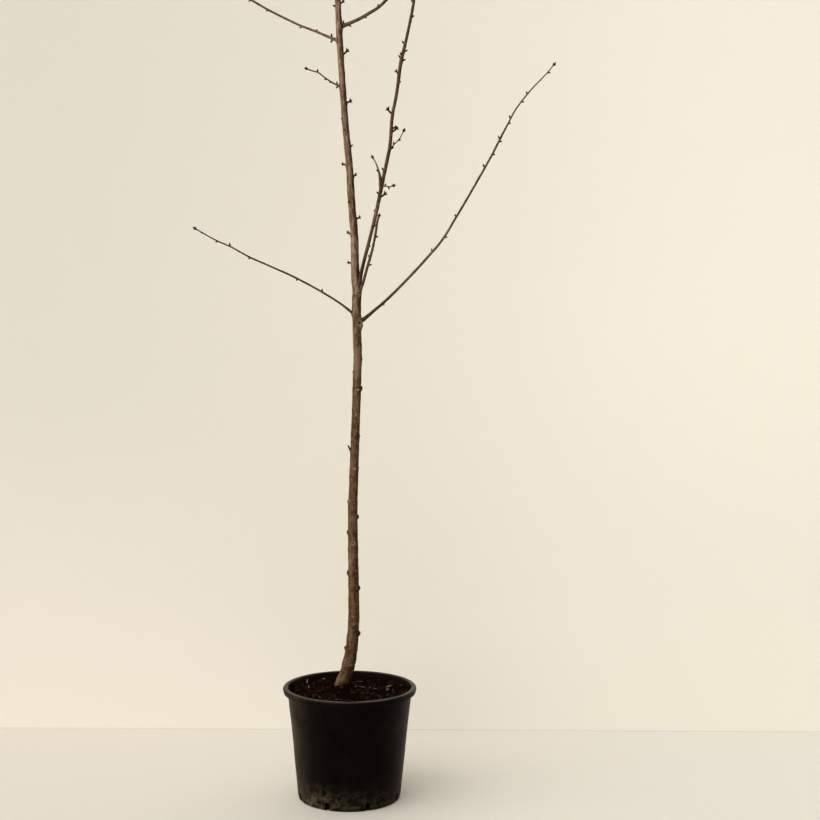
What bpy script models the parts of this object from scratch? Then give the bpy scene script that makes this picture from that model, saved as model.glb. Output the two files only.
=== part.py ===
"""Potted cherry tree: a young feathered tree, bare in winter, in a round black nursery pot.

Metres, +Z up. The origin is the centre of the pot's flat underside, +X is to the right and
+Y to the back. A limb is a smooth line through a few stations, each x, y, z and the
diameter there. Bearings are in degrees.
"""

import math
import random

import bmesh
import bpy
import numpy as np

GAP = 0.0003  # between solids that touch in the real tree
MERGE = 0.00001

# The pot, a 15 litre container
POT_HEIGHT = 0.256
RIM_RADIUS = 0.153  # outside of the rolled rim
RIM_INNER_RADIUS = 0.141
RIM_ROUND = 0.0012  # at the inner edge of the rim
BEAD_RADIUS = 0.005  # the roll along the top of the rim
BEAD_ARC = (90, 60, 30, 0, -30)  # degrees round the roll, from its top outwards
LIP_HEIGHT = 0.0135
LIP_RADIUS = 0.1515  # the band under the roll
LIP_ROUND = 0.001
WALL_FOOT_RADIUS = 0.1172
WALL_SPREAD = 0.101  # growth of the wall's radius with height
WALL = 0.0022
FLOOR = 0.003
FOOT_BEVEL = 0.003
POT_STEPS = 56
SLOTS = 8
SLOT_WIDTH = 0.011
SLOT_HEIGHT = 0.020
SLOT_REACH = 0.013  # how far a slot runs in under the pot from its wall
SLOT_FACET = 30  # degrees of the slot's round top between two points
SLOT_BELOW = 0.001  # how far a slot's cutter starts below the pot

# The compost that fills it
SOIL_LEVEL = 0.240
SOIL_STEPS = 28
SOIL_RINGS = 8
MOUND_HEIGHT = 0.0105
MOUND_RADIUS = 0.040
LUMPS = 26
LUMP_HEIGHT = 0.0016
LUMP_LEAST, LUMP_MOST = 0.010, 0.022  # radius of a lump
LUMP_REACH = 0.9  # share of the soil's radius that holds lumps
LUMP_SEED = 11
POCKET_DEPTH = 0.05  # how far up the trunk's foot the pocket for it reaches

# How the limbs are faceted
TRUNK_SIDES, BOUGH_SIDES, STEM_SIDES, TWIG_SIDES = 10, 8, 6, 4
TRUNK_STEP, BOUGH_STEP, SHOOT_STEP = 0.042, 0.036, 0.020
LEAST_STRETCH = 0.002  # between two rings of one limb
CREASE = 40  # degrees, above which an edge is sharp

# Buds and spurs. A bud is a spindle: share of its length, share of its width as radius
BUD_SHAPE = ((-0.33, 0.35), (0.45, 0.5), (1.0, 0.09))
BUD_MOST = 0.008  # a side growth up to this length is one bud, a longer one a spur
BUD_SLENDER, BUD_LEAST_WIDTH = 0.48, 0.0032  # width of a bud by its length
BUD_STOUT = 0.45  # least width of a bud by the radius of the limb under it
THORN_LEAN, THORN_WIDTH = 2, 0.0046  # a growth that leans along the limb by more is a bare thorn
# On the trunk's old wood, below a height, a short growth is a knob that lies along the bark
KNOB_MOST, KNOB_BELOW = 0.0065, 1.30
KNOB_TALL, KNOB_WIDTH = 1.45, 0.72  # share of the growth's length, and of the knob's own
KNOB_SINK, KNOB_BACK = 0.0008, 0.35  # how deep its line lies, and how far back it starts
KNOB_LEAN = 0.24  # how much it leans out
BUD_LEAN, SPUR_LEAN = 0.9, 0.5  # share of the limb's own direction in theirs
SPUR_BUD = (0.0076, 0.0030)  # length and width of a spur's buds
SPUR_RADII = (0.0019, 0.0015)
SPUR_SINK = 0.003  # how deep in the bark a spur starts
SPUR_FAN, SPUR_TWIST = 1.2, 83  # spread of a spur's two buds, and the turn of their plane
TIP_BUD = (0.0064, 0.0040)
TIP_FAN = 0.8
TIP_BEARINGS = (20, 200)
TIP_SINK = 0.003
SHOOT_BUDS = ((0.3, 0), (0.6, 180))  # share of a shoot's length, bearing

TRUNK_CUT = 0.2455  # the flat cut at the foot of the trunk
TRUNK = [
    (-0.028, 0.031, 0.232, 0.0345), (-0.020, 0.030, 0.248, 0.0325),
    (-0.008, 0.028, 0.282, 0.0308), (0, 0.025, 0.318, 0.0296),
    (0.004, 0.022, 0.348, 0.0274), (0.007, 0.019, 0.387, 0.0264),
    (0.007, 0.012, 0.505, 0.0238), (0.006, 0.009, 0.575, 0.0229),
    (0.005, 0.005, 0.660, 0.0216), (0.007, 0.002, 0.729, 0.0204),
    (0.011, 0, 0.860, 0.0193), (0.014, 0, 0.969, 0.0191),
    (0.015, 0, 1.015, 0.0190), (0.013, 0, 1.071, 0.0194),
    (0.012, 0, 1.134, 0.0203), (0.012, 0, 1.158, 0.0209),
    (0.010, 0, 1.184, 0.0197), (0.008, 0, 1.222, 0.0182),
    (0.007, 0, 1.270, 0.0175), (-0.001, 0, 1.368, 0.0167),
    (-0.004, 0, 1.420, 0.0162), (-0.013, 0, 1.513, 0.0150),
    (-0.021, 0, 1.612, 0.0144), (-0.027, 0, 1.700, 0.0141),
    (-0.033, 0, 1.808, 0.0128), (-0.037, 0.004, 1.950, 0.0100),
    (-0.045, 0.009, 2.130, 0.0072), (-0.047, 0.010, 2.330, 0.0034),
]
# Buds and spurs on the trunk: height, bearing from +X towards +Y, length and, where it
# isn't the usual one, the share of the trunk's direction
TRUNK_BUDS = [
    (0.337, 180, 0.005), (0.374, 0, 0.0065), (0.480, 350, 0.006), (0.515, 180, 0.006),
    (0.552, 85, 0.006), (0.609, 180, 0.005), (0.645, 0, 0.006), (0.680, 180, 0.004),
    (0.722, 95, 0.006), (0.757, 345, 0.003), (0.795, 190, 0.015, 2.4), (0.831, 0, 0.003),
    (0.905, 80, 0.006), (0.939, 0, 0.006), (0.976, 180, 0.003), (1.005, 0, 0.003),
    (1.037, 315, 0.003), (1.222, 180, 0.011, 0.3), (1.251, 85, 0.010),
    (1.288, 180, 0.012, 0.7), (1.321, 0, 0.012, 0.35), (1.358, 225, 0.004),
    (1.376, 100, 0.012), (1.416, 0, 0.011, 0.8), (1.443, 180, 0.012, 0.3),
    (1.462, 75, 0.009), (1.482, 0, 0.007), (1.538, 98, 0.013), (1.545, 200, 0.003),
    (1.580, 0, 0.015, 0.4), (1.640, 82, 0.012), (1.688, 0, 0.018, 0.85),
    (1.768, 95, 0.010), (1.793, 205, 0.008, 0.5), (1.799, 335, 0.014, 0.6),
]
TRUNK_RULE_FROM = 1.845  # above this height the buds follow the spiral rule

# The boughs that divide the crown. split is the distance at which a bough ends and its
# twigs begin. A bud or spur is its distance along the limb, its bearing round the limb
# from zero, its length and, where it isn't the usual one, the share of the limb's
# direction. rule_from is where the spiral rule takes over, and a shoot is a side twig
# with stations of its own.
UP, RIGHT = (0, 0, 1), (1, 0, 0)
BOUGHS = {
    "low_right": {
        "stations": [
            (0.012, 0, 1.084, 0.0110), (0.026, 0.010, 1.094, 0.0095),
            (0.047, 0.025, 1.112, 0.0072), (0.071, 0.040, 1.133, 0.0066),
            (0.120, 0.063, 1.182, 0.0062), (0.171, 0.081, 1.238, 0.0060),
            (0.207, 0.090, 1.281, 0.0057), (0.238, 0.096, 1.332, 0.0053),
            (0.287, 0.104, 1.417, 0.0050), (0.324, 0.107, 1.484, 0.0050),
            (0.344, 0.108, 1.524, 0.0050), (0.359, 0.109, 1.553, 0.0039),
            (0.373, 0.111, 1.580, 0.0037), (0.409, 0.112, 1.628, 0.0033),
            (0.451, 0.114, 1.673, 0.0027), (0.465, 0.114, 1.690, 0.0023),
        ],
        "zero": UP,
        "split": 0.330,
        "buds": [
            (0.085, 180, 0.004), (0.150, 90, 0.004), (0.215, 270, 0.004), (0.259, 0, 0.005),
            (0.304, 180, 0.005), (0.358, 0, 0.006), (0.403, 270, 0.004), (0.450, 90, 0.005),
            (0.491, 0, 0.008), (0.526, 180, 0.005), (0.560, 180, 0.006), (0.566, 0, 0.007),
            (0.573, 270, 0.006), (0.607, 180, 0.005), (0.620, 0, 0.007), (0.666, 180, 0.006),
            (0.688, 0, 0.006), (0.732, 270, 0.006), (0.757, 180, 0.006),
        ],
    },
    "low_left": {
        "stations": [
            (0.011, 0.001, 1.103, 0.0085), (0.002, -0.004, 1.110, 0.0068),
            (-0.014, -0.013, 1.123, 0.0049), (-0.064, -0.039, 1.155, 0.0045),
            (-0.120, -0.067, 1.185, 0.0043), (-0.181, -0.096, 1.212, 0.0040),
            (-0.216, -0.111, 1.227, 0.0038), (-0.257, -0.130, 1.249, 0.0033),
            (-0.285, -0.141, 1.261, 0.0030), (-0.330, -0.159, 1.286, 0.0024),
        ],
        "zero": UP,
        "split": 0.190,
        "buds": [
            (0.100, 0, 0.006), (0.138, 90, 0.004), (0.165, 180, 0.004), (0.203, 270, 0.004),
            (0.284, 180, 0.004), (0.312, 90, 0.005), (0.335, 0, 0.007), (0.365, 180, 0.004),
            (0.401, 90, 0.006),
        ],
    },
    "second_leader": {
        "stations": [
            (0.011, -0.003, 1.148, 0.0110), (0.017, -0.007, 1.166, 0.0092),
            (0.023, -0.012, 1.201, 0.0080), (0.040, -0.022, 1.269, 0.0076),
            (0.055, -0.031, 1.329, 0.0082), (0.064, -0.038, 1.371, 0.0086),
            (0.067, -0.040, 1.387, 0.0088), (0.077, -0.046, 1.433, 0.0079),
            (0.086, -0.053, 1.479, 0.0077), (0.092, -0.063, 1.549, 0.0074),
            (0.098, -0.067, 1.577, 0.0070), (0.110, -0.079, 1.659, 0.0082),
            (0.121, -0.086, 1.706, 0.0065), (0.131, -0.092, 1.752, 0.0064),
            (0.140, -0.099, 1.805, 0.0061), (0.155, -0.108, 1.890, 0.0053),
            (0.174, -0.118, 2.000, 0.0042), (0.190, -0.125, 2.130, 0.0030),
        ],
        "zero": RIGHT,
        "split": 0.208,
        "rule_from": 0.690,
        "buds": [
            (0.116, 0, 0.003), (0.160, 270, 0.004), (0.196, 180, 0.003),
            (0.230, 0, 0.017, 1.2), (0.235, 180, 0.006), (0.288, 180, 0.007, 1.0),
            (0.300, 90, 0.009), (0.337, 350, 0.008), (0.374, 0, 0.018, 1.0), (0.381, 10, 0.009),
            (0.413, 180, 0.018, 0.9), (0.440, 95, 0.009), (0.482, 0, 0.003),
            (0.501, 180, 0.010, 0.9), (0.529, 0, 0.007), (0.534, 180, 0.007),
            (0.540, 222, 0.007), (0.549, 0, 0.007), (0.565, 180, 0.007), (0.599, 270, 0.004),
            (0.624, 0, 0.005), (0.655, 200, 0.005),
        ],
        "shoots": [
            [
                (0.066, -0.038, 1.378, 0.0060), (0.065, -0.043, 1.394, 0.0070),
                (0.064, -0.047, 1.412, 0.0062), (0.060, -0.052, 1.427, 0.0038),
                (0.056, -0.056, 1.438, 0.0028), (0.048, -0.060, 1.452, 0.0022),
            ],
            [
                (0.068, -0.040, 1.388, 0.0032), (0.078, -0.050, 1.390, 0.0028),
                (0.085, -0.056, 1.388, 0.0026), (0.095, -0.063, 1.390, 0.0024),
            ],
            [
                (0.085, -0.051, 1.470, 0.0032), (0.094, -0.062, 1.479, 0.0028),
                (0.107, -0.074, 1.491, 0.0025), (0.117, -0.083, 1.508, 0.0022),
            ],
        ],
    },
    "fork_shoot": {
        "stations": [
            (0.015, -0.004, 1.146, 0.0076), (0.023, -0.010, 1.166, 0.0066),
            (0.038, -0.026, 1.217, 0.0062), (0.048, -0.037, 1.251, 0.0058),
            (0.055, -0.048, 1.285, 0.0055), (0.060, -0.056, 1.315, 0.0050),
            (0.063, -0.059, 1.324, 0.0042),
        ],
        "zero": RIGHT,
        "split": 0,
        "buds": [
            (0.049, 180, 0.004), (0.078, 0, 0.007, 0.6), (0.097, 180, 0.004),
            (0.144, 0, 0.006), (0.169, 180, 0.005, 0.2),
        ],
    },
    "upper_left": {
        "stations": [
            (-0.029, 0, 1.712, 0.0088), (-0.037, 0.006, 1.721, 0.0078),
            (-0.046, 0.010, 1.725, 0.0066), (-0.083, 0.025, 1.743, 0.0054),
            (-0.117, 0.039, 1.758, 0.0051), (-0.153, 0.054, 1.777, 0.0050),
            (-0.216, 0.081, 1.814, 0.0048), (-0.285, 0.108, 1.864, 0.0043),
            (-0.335, 0.126, 1.911, 0.0037), (-0.380, 0.140, 1.965, 0.0028),
        ],
        "zero": UP,
        "split": 0.160,
        "rule_from": 0.250,
        "buds": [
            (0.022, 180, 0.008, 0.3), (0.026, 0, 0.008, 0.7), (0.066, 0, 0.004),
            (0.107, 180, 0.005), (0.130, 90, 0.005), (0.151, 270, 0.003),
            (0.178, 90, 0.006), (0.204, 180, 0.004), (0.230, 270, 0.006),
        ],
    },
    "upper_right": {
        "stations": [
            (-0.029, 0, 1.744, 0.0088), (-0.024, 0.004, 1.750, 0.0112),
            (-0.017, 0.008, 1.754, 0.0090), (0.007, 0.020, 1.767, 0.0074),
            (0.034, 0.034, 1.785, 0.0074), (0.061, 0.048, 1.806, 0.0071),
            (0.073, 0.057, 1.820, 0.0069), (0.108, 0.074, 1.866, 0.0065),
            (0.156, 0.098, 1.940, 0.0058), (0.204, 0.120, 2.028, 0.0047),
            (0.239, 0.135, 2.125, 0.0030),
        ],
        "zero": UP,
        "split": 0.170,
        "rule_from": 0.190,
        "buds": [
            (0.016, 0, 0.007, 0.4), (0.028, 180, 0.006), (0.050, 90, 0.004),
            (0.073, 180, 0.004), (0.116, 0, 0.004), (0.148, 270, 0.006),
        ],
    },
    "side_twig": {
        "stations": [
            (-0.020, 0, 1.615, 0.0068), (-0.028, -0.002, 1.617, 0.0056),
            (-0.034, -0.004, 1.619, 0.0042), (-0.058, -0.011, 1.632, 0.0033),
            (-0.078, -0.017, 1.645, 0.0032), (-0.088, -0.020, 1.647, 0.0030),
            (-0.101, -0.025, 1.651, 0.0028),
        ],
        "zero": UP,
        "split": 0,
        "buds": [
            (0.012, 180, 0.007, 0.6), (0.015, 0, 0.007, 0.6), (0.031, 180, 0.003),
            (0.043, 180, 0.004), (0.067, 0, 0.006, 0.3),
        ],
    },
}
# Boughs at the top that rise in one even curve: height of the root on the trunk, bearing,
# length, slope above the level at the root and at the tip, diameter at the root and tip
TOP_BOUGHS = {
    "top_back": (1.832, 98, 0.42, 32, 62, 0.0080, 0.0028),
    "top_front": (1.866, 252, 0.40, 36, 62, 0.0076, 0.0028),
    "top_right": (1.902, 352, 0.33, 42, 68, 0.0068, 0.0026),
    "top_left": (1.934, 186, 0.29, 44, 68, 0.0062, 0.0026),
}
TOP_STATIONS = 6
TOP_SPLIT = 0.45  # share of the length
TOP_TAPER = 0.6  # power of the length's share by which a top bough thins
TOP_BARE = 0.03  # length at a top bough's root without buds

# The spiral rule: buds every PITCH, each SPIRAL degrees round from the one before
PITCH = 0.042
PITCH_JITTER = 0.006
SPIRAL = 137.5
OLD_WOOD = 0.35  # share of a limb whose buds sit on short spurs
RULE_SPUR, RULE_BUD = 0.013, 0.006
RULE_LEAST, RULE_GROWTH = 0.85, 1.25  # share of those lengths
TWIG_CLEARANCE = 0.004
SPLIT_BARE = 0.006  # length without buds on both sides of a split
TIP_BARE = 0.02  # length without buds by the rule before a tip
TRUNK_SEED, TRUNK_FIRST = 3, 60  # seed of the rule and bearing of its first bud
BOUGH_SEED, BOUGH_FIRST = 100, 40  # for the first bough, the next ones one and 40 degrees on
TOP_SEED, TOP_FIRST = 200, 70

COLOURS = {
    "pot": (0.012, 0.011, 0.010), "soil": (0.020, 0.013, 0.009), "trunk": (0.170, 0.105, 0.065),
    "bough": (0.110, 0.070, 0.045), "twigs": (0.085, 0.055, 0.036),
}
ROUGHNESS = {"pot": 0.42, "soil": 0.95, "trunk": 0.75, "bough": 0.75, "twigs": 0.8}


def unit(vector):
    return vector / np.linalg.norm(vector)


class Limb:
    """A tapering limb, measured by the distance along its line."""

    def __init__(self, stations, step, zero):
        """The line is a cubic through the stations, passed in the direction of their neighbours."""
        table = np.array(stations)
        places = table[:, :3]
        lengths = np.linalg.norm(np.diff(places, axis=0), axis=1)
        knots = np.concatenate([[0], np.cumsum(lengths)])
        slopes = np.gradient(places, knots, axis=0)
        along = np.linspace(0, knots[-1], max(3, round(knots[-1] / step)) + 1)
        i = np.clip(np.searchsorted(knots, along, side="right") - 1, 0, len(lengths) - 1)
        t = ((along - knots[i]) / lengths[i])[:, None]
        span = lengths[i][:, None]
        self.points = (
            (1 + 2 * t) * (1 - t) ** 2 * places[i]
            + t * (1 - t) ** 2 * span * slopes[i]
            + t**2 * (3 - 2 * t) * places[i + 1]
            + t**2 * (t - 1) * span * slopes[i + 1]
        )
        self.radii = np.interp(along, knots, table[:, 3] / 2)
        self.along = along
        self.length = knots[-1]
        self.zero = np.array(zero, float)
        self.knobs_to = 0.0  # the distance up to which short growths are knobs

    def at(self, distance):
        return np.array([np.interp(distance, self.along, self.points[:, k]) for k in range(3)])

    def radius(self, distance):
        return float(np.interp(distance, self.along, self.radii))

    def at_height(self, height):
        """The distance along a rising limb at which it reaches a height."""
        return float(np.interp(height, self.points[:, 2], self.along))

    def forward(self, distance):
        near = LEAST_STRETCH * 2
        return unit(self.at(distance + near) - self.at(distance - near))

    def side(self, distance, bearing):
        """A direction square to the limb, at a bearing round it from self.zero."""
        forward = self.forward(distance)
        first = unit(self.zero - (self.zero @ forward) * forward)
        turn = math.radians(bearing)
        return math.cos(turn) * first + math.sin(turn) * np.cross(forward, first)

    def stretch(self, start, end):
        """The points and radii of the limb from one distance to another."""
        inner = (self.along > start + LEAST_STRETCH) & (self.along < end - LEAST_STRETCH)
        cuts = [start, *self.along[inner], end]
        return np.array([self.at(s) for s in cuts]), np.array([self.radius(s) for s in cuts])


def material(name, kind):
    made = bpy.data.materials.new(name)
    made.use_nodes = True
    shader = made.node_tree.nodes["Principled BSDF"]
    shader.inputs["Base Color"].default_value = (*COLOURS[kind], 1)
    shader.inputs["Roughness"].default_value = ROUGHNESS[kind]
    return made


def settle(body):
    """Puts the body's evaluated mesh in place of its modifiers or its curve."""
    depsgraph = bpy.context.evaluated_depsgraph_get()
    mesh = bpy.data.meshes.new_from_object(body.evaluated_get(depsgraph))
    body.modifiers.clear()
    if body.type == "MESH":
        body.data = mesh
        return body
    name, collections = body.name, body.users_collection
    bpy.data.objects.remove(body)
    made = bpy.data.objects.new(name, mesh)
    for collection in collections:
        collection.objects.link(made)
    return made


def tube(name, points, radii, sides):
    """A closed tapering tube along the points, from a bevelled curve with filled ends."""
    curve = bpy.data.curves.new(name, "CURVE")
    curve.dimensions = "3D"
    curve.bevel_depth = 1.0  # so that a point's radius is the tube's radius there
    curve.bevel_resolution = (sides - 4) // 2
    curve.use_fill_caps = True
    spline = curve.splines.new("POLY")
    spline.points.add(len(points) - 1)
    for spot, place, radius in zip(spline.points, points, radii):
        spot.co = (*place, 1)
        spot.radius = radius
    body = bpy.data.objects.new(name, curve)
    bpy.context.scene.collection.objects.link(body)
    body = settle(body)
    bm = bmesh.new()
    bm.from_mesh(body.data)
    bmesh.ops.remove_doubles(bm, verts=bm.verts, dist=MERGE / 10)
    bm.to_mesh(body.data)
    bm.free()
    return body


def combine(body, others, operation):
    """One Boolean of the body with a collection of other solids, which are then removed."""
    if not others:
        return
    group = bpy.data.collections.new(body.name + "_others")
    bpy.context.scene.collection.children.link(group)
    for other in others:
        other.hide_render = True
        group.objects.link(other)
    change = body.modifiers.new("combine", "BOOLEAN")
    change.operation = operation
    change.operand_type = "COLLECTION"
    change.collection = group
    change.solver = "EXACT"
    settle(body)
    for other in others:
        bpy.data.objects.remove(other)
    bpy.data.collections.remove(group)


def finish(body, kind):
    body.data.materials.clear()
    body.data.materials.append(material(body.name, kind))
    body.data.shade_smooth()
    body.data.set_sharp_from_angle(angle=math.radians(CREASE))


def spindle(root, forward, length, width):
    """A pointed bud whose foot is sunk into what carries it."""
    points = [root + forward * length * share for share, _ in BUD_SHAPE]
    return tube("bud", points, [width * share for _, share in BUD_SHAPE], TWIG_SIDES)


def aim(limb, distance, bearing, lean):
    """Where a side growth leaves the bark, and its direction."""
    out = limb.side(distance, bearing)
    surface = limb.at(distance) + out * limb.radius(distance)
    return surface, unit(out + limb.forward(distance) * lean)


def knob(limb, distance, bearing, length):
    """A blunt bud that lies along the bark, sunk in it."""
    out, forward = limb.side(distance, bearing), limb.forward(distance)
    tall = length * KNOB_TALL
    root = limb.at(distance) + out * (limb.radius(distance) - KNOB_SINK) - forward * tall * KNOB_BACK
    return spindle(root, unit(forward + out * KNOB_LEAN), tall, tall * KNOB_WIDTH)


def bud_or_spur(limb, distance, bearing, length, lean=None):
    """A bud, or above BUD_MOST a spur that ends in two fanned buds, or a thorn or a knob."""
    if length <= KNOB_MOST and distance < limb.knobs_to:
        return [knob(limb, distance, bearing, length)]
    if lean is not None and lean > THORN_LEAN:
        return [spindle(*aim(limb, distance, bearing, lean), length, THORN_WIDTH)]
    if length <= BUD_MOST:
        surface, forward = aim(limb, distance, bearing, BUD_LEAN if lean is None else lean)
        width = max(BUD_LEAST_WIDTH, length * BUD_SLENDER, limb.radius(distance) * BUD_STOUT)
        return [spindle(surface, forward, length, width)]
    surface, forward = aim(limb, distance, bearing, SPUR_LEAN if lean is None else lean)
    bud_length, bud_width = SPUR_BUD
    start = surface - limb.side(distance, bearing) * min(limb.radius(distance), SPUR_SINK)
    end = surface + forward * (length - bud_length)
    pieces = [tube("spur", [start, end], SPUR_RADII, TWIG_SIDES)]
    across = unit(np.cross(forward, limb.side(distance, bearing + SPUR_TWIST)))
    for way in (-1, 1):
        pieces.append(spindle(end, unit(forward + across * SPUR_FAN * way), bud_length, bud_width))
    return pieces


def by_rule(limb, start, end, first, rng):
    """Buds along a limb by the spiral rule, on short spurs where the wood is old."""
    for number in range(int((end - start) / PITCH) + 1):
        distance = start + number * PITCH + rng.uniform(-PITCH_JITTER, PITCH_JITTER)
        old = distance < limb.length * OLD_WOOD and number % 2 == 0
        length = (RULE_SPUR if old else RULE_BUD) * rng.uniform(RULE_LEAST, RULE_GROWTH)
        if start <= distance <= end:
            yield distance, first + number * SPIRAL, length


def is_clear(limb, entry, others):
    """Whether the tip of a bud or spur stays off the other limbs."""
    distance, bearing, length = entry[:3]
    surface, forward = aim(limb, distance, bearing, entry[3] if entry[3:] else SPUR_LEAN)
    tip = surface + forward * length
    return all(
        np.min(np.linalg.norm(other.points - tip, axis=1) - other.radii) > TWIG_CLEARANCE
        for other in others
        if other is not limb
    )


def growth(limb, entries, start, end, limbs):
    """The solids of the buds and spurs whose place is between two distances of a limb."""
    pieces = []
    for entry in entries:
        if start <= entry[0] < end and is_clear(limb, entry, limbs):
            pieces += bud_or_spur(limb, *entry)
    return pieces


def tip_buds(limb):
    """Three buds fanned at the end of a limb."""
    near = limb.length - TIP_SINK
    forward = limb.forward(near)
    pieces = [spindle(limb.at(limb.length), forward, *TIP_BUD)]
    for bearing in TIP_BEARINGS:
        fan = unit(forward + limb.side(near, bearing) * TIP_FAN)
        pieces.append(spindle(limb.at(near), fan, *SPUR_BUD))
    return pieces


def side_shoot(stations):
    """A side twig along its own stations, with buds on it and at its tip."""
    limb = Limb(stations, SHOOT_STEP, UP)
    pieces = [limb_tube("shoot", limb, 0, limb.length, TWIG_SIDES), *tip_buds(limb)]
    for share, bearing in SHOOT_BUDS:
        pieces += bud_or_spur(limb, limb.length * share, bearing, RULE_BUD)
    return pieces


def turned(name, profile, steps):
    """A solid turned about Z from a profile of (radius, height) between two points of the axis."""
    mesh = bpy.data.meshes.new(name)
    mesh.from_pydata([(r, 0, z) for r, z in profile], [(i, i + 1) for i in range(len(profile) - 1)], [])
    body = bpy.data.objects.new(name, mesh)
    bpy.context.scene.collection.objects.link(body)
    screw = body.modifiers.new("turn", "SCREW")
    screw.steps = screw.render_steps = steps
    screw.use_merge_vertices = True
    screw.merge_threshold = MERGE
    screw.use_normal_calculate = True
    return settle(body)


def wall_radius(height):
    return WALL_FOOT_RADIUS + WALL_SPREAD * height


def slot_cutter(index):
    """A drain slot: an upright outline with a round top, run in through the wall near the foot."""
    half = SLOT_WIDTH / 2
    arc = [math.radians(a) for a in range(0, 181, SLOT_FACET)]
    outline = [(half, -SLOT_BELOW)]
    outline += [(half * math.cos(a), SLOT_HEIGHT - half + half * math.sin(a)) for a in arc]
    outline.append((-half, -SLOT_BELOW))
    bm = bmesh.new()
    inner = WALL_FOOT_RADIUS - SLOT_REACH
    face = bm.faces.new([bm.verts.new((inner, x, z)) for x, z in outline])
    grown = bmesh.ops.extrude_face_region(bm, geom=[face])
    moved = [v for v in grown["geom"] if isinstance(v, bmesh.types.BMVert)]
    bmesh.ops.translate(bm, verts=moved, vec=(SLOT_REACH * 2, 0, 0))
    bmesh.ops.recalc_face_normals(bm, faces=bm.faces)
    mesh = bpy.data.meshes.new("slot_cutter")
    bm.to_mesh(mesh)
    bm.free()
    body = bpy.data.objects.new("slot_cutter", mesh)
    body.rotation_euler.z = 2 * math.pi * (index + 0.5) / SLOTS
    body.display_type = "WIRE"
    bpy.context.scene.collection.objects.link(body)
    return body


def make_pot():
    top = POT_HEIGHT
    lip_foot = top - LIP_HEIGHT
    bead_centre = RIM_RADIUS - BEAD_RADIUS
    bead = [math.radians(a) for a in BEAD_ARC]
    profile = [
        (0, FLOOR),
        (wall_radius(FLOOR) - WALL, FLOOR),
        (wall_radius(lip_foot) - WALL, lip_foot),
        (RIM_INNER_RADIUS, top - WALL),
        (RIM_INNER_RADIUS + RIM_ROUND, top),
    ]
    profile += [
        (bead_centre + BEAD_RADIUS * math.cos(a), top - BEAD_RADIUS + BEAD_RADIUS * math.sin(a))
        for a in bead
    ]
    profile += [
        (LIP_RADIUS, top - 2 * BEAD_RADIUS + LIP_ROUND),
        (LIP_RADIUS, lip_foot + LIP_ROUND),
        (LIP_RADIUS - LIP_ROUND, lip_foot),
        (wall_radius(lip_foot), lip_foot),
        (wall_radius(FOOT_BEVEL), FOOT_BEVEL),
        (WALL_FOOT_RADIUS - FOOT_BEVEL, 0),
        (0, 0),
    ]
    body = turned("pot", profile, POT_STEPS)
    combine(body, [slot_cutter(i) for i in range(SLOTS)], "DIFFERENCE")
    finish(body, "pot")


def make_soil(trunk):
    """The pot's filling, mounded at the trunk, with soft lumps and a pocket for the trunk's foot."""
    rng = random.Random(LUMP_SEED)
    foot = trunk.at(trunk.at_height(TRUNK_CUT))
    edge = wall_radius(SOIL_LEVEL) - WALL - GAP
    bottom = FLOOR + GAP
    profile = [(edge * ring / SOIL_RINGS, SOIL_LEVEL) for ring in range(SOIL_RINGS + 1)]
    profile += [(wall_radius(bottom) - WALL - GAP, bottom), (0, bottom)]
    body = turned("soil", profile, SOIL_STEPS)
    lumps = []
    for _ in range(LUMPS):
        reach, turn = edge * math.sqrt(rng.random()) * LUMP_REACH, rng.uniform(0, 2 * math.pi)
        lumps.append((reach * math.cos(turn), reach * math.sin(turn), rng.uniform(LUMP_LEAST, LUMP_MOST)))
    for vertex in body.data.vertices:
        x, y, z = vertex.co
        if z < SOIL_LEVEL - GAP or math.hypot(x, y) > edge - GAP:
            continue
        away = math.hypot(x - foot[0], y - foot[1])
        vertex.co.z += MOUND_HEIGHT * math.exp(-((away / MOUND_RADIUS) ** 2))
        for lump_x, lump_y, size in lumps:
            vertex.co.z += LUMP_HEIGHT * math.exp(-(math.hypot(x - lump_x, y - lump_y) / size) ** 2)
    pocket_end = trunk.at_height(TRUNK_CUT + POCKET_DEPTH)
    pocket = limb_tube("pocket", trunk, 0, pocket_end, TRUNK_SIDES, GAP)
    cut_level(pocket, TRUNK_CUT - GAP)
    combine(body, [pocket], "DIFFERENCE")
    finish(body, "soil")


def limb_tube(name, limb, start, end, sides, grown=0.0):
    points, radii = limb.stretch(start, end)
    return tube(name, points, radii + grown, sides)


def cut_level(body, height):
    """Removes what is under a level plane and closes the cut."""
    bm = bmesh.new()
    bm.from_mesh(body.data)
    everything = bm.verts[:] + bm.edges[:] + bm.faces[:]
    cut = bmesh.ops.bisect_plane(
        bm, geom=everything, plane_co=(0, 0, height), plane_no=(0, 0, -1), clear_outer=True
    )
    rim = [e for e in cut["geom_cut"] if isinstance(e, bmesh.types.BMEdge)]
    bmesh.ops.holes_fill(bm, edges=rim, sides=0)
    bmesh.ops.recalc_face_normals(bm, faces=bm.faces)
    bm.to_mesh(body.data)
    bm.free()


def make_trunk(trunk, limbs):
    body = limb_tube("trunk", trunk, 0, trunk.length, TRUNK_SIDES)
    cut_level(body, TRUNK_CUT)
    entries = [(trunk.at_height(z), *rest) for z, *rest in TRUNK_BUDS]
    rule_from = trunk.at_height(TRUNK_RULE_FROM)
    rng = random.Random(TRUNK_SEED)
    entries += by_rule(trunk, rule_from, trunk.length - TIP_BARE, TRUNK_FIRST, rng)
    combine(body, growth(trunk, entries, 0, trunk.length, limbs) + tip_buds(trunk), "UNION")
    finish(body, "trunk")


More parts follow.
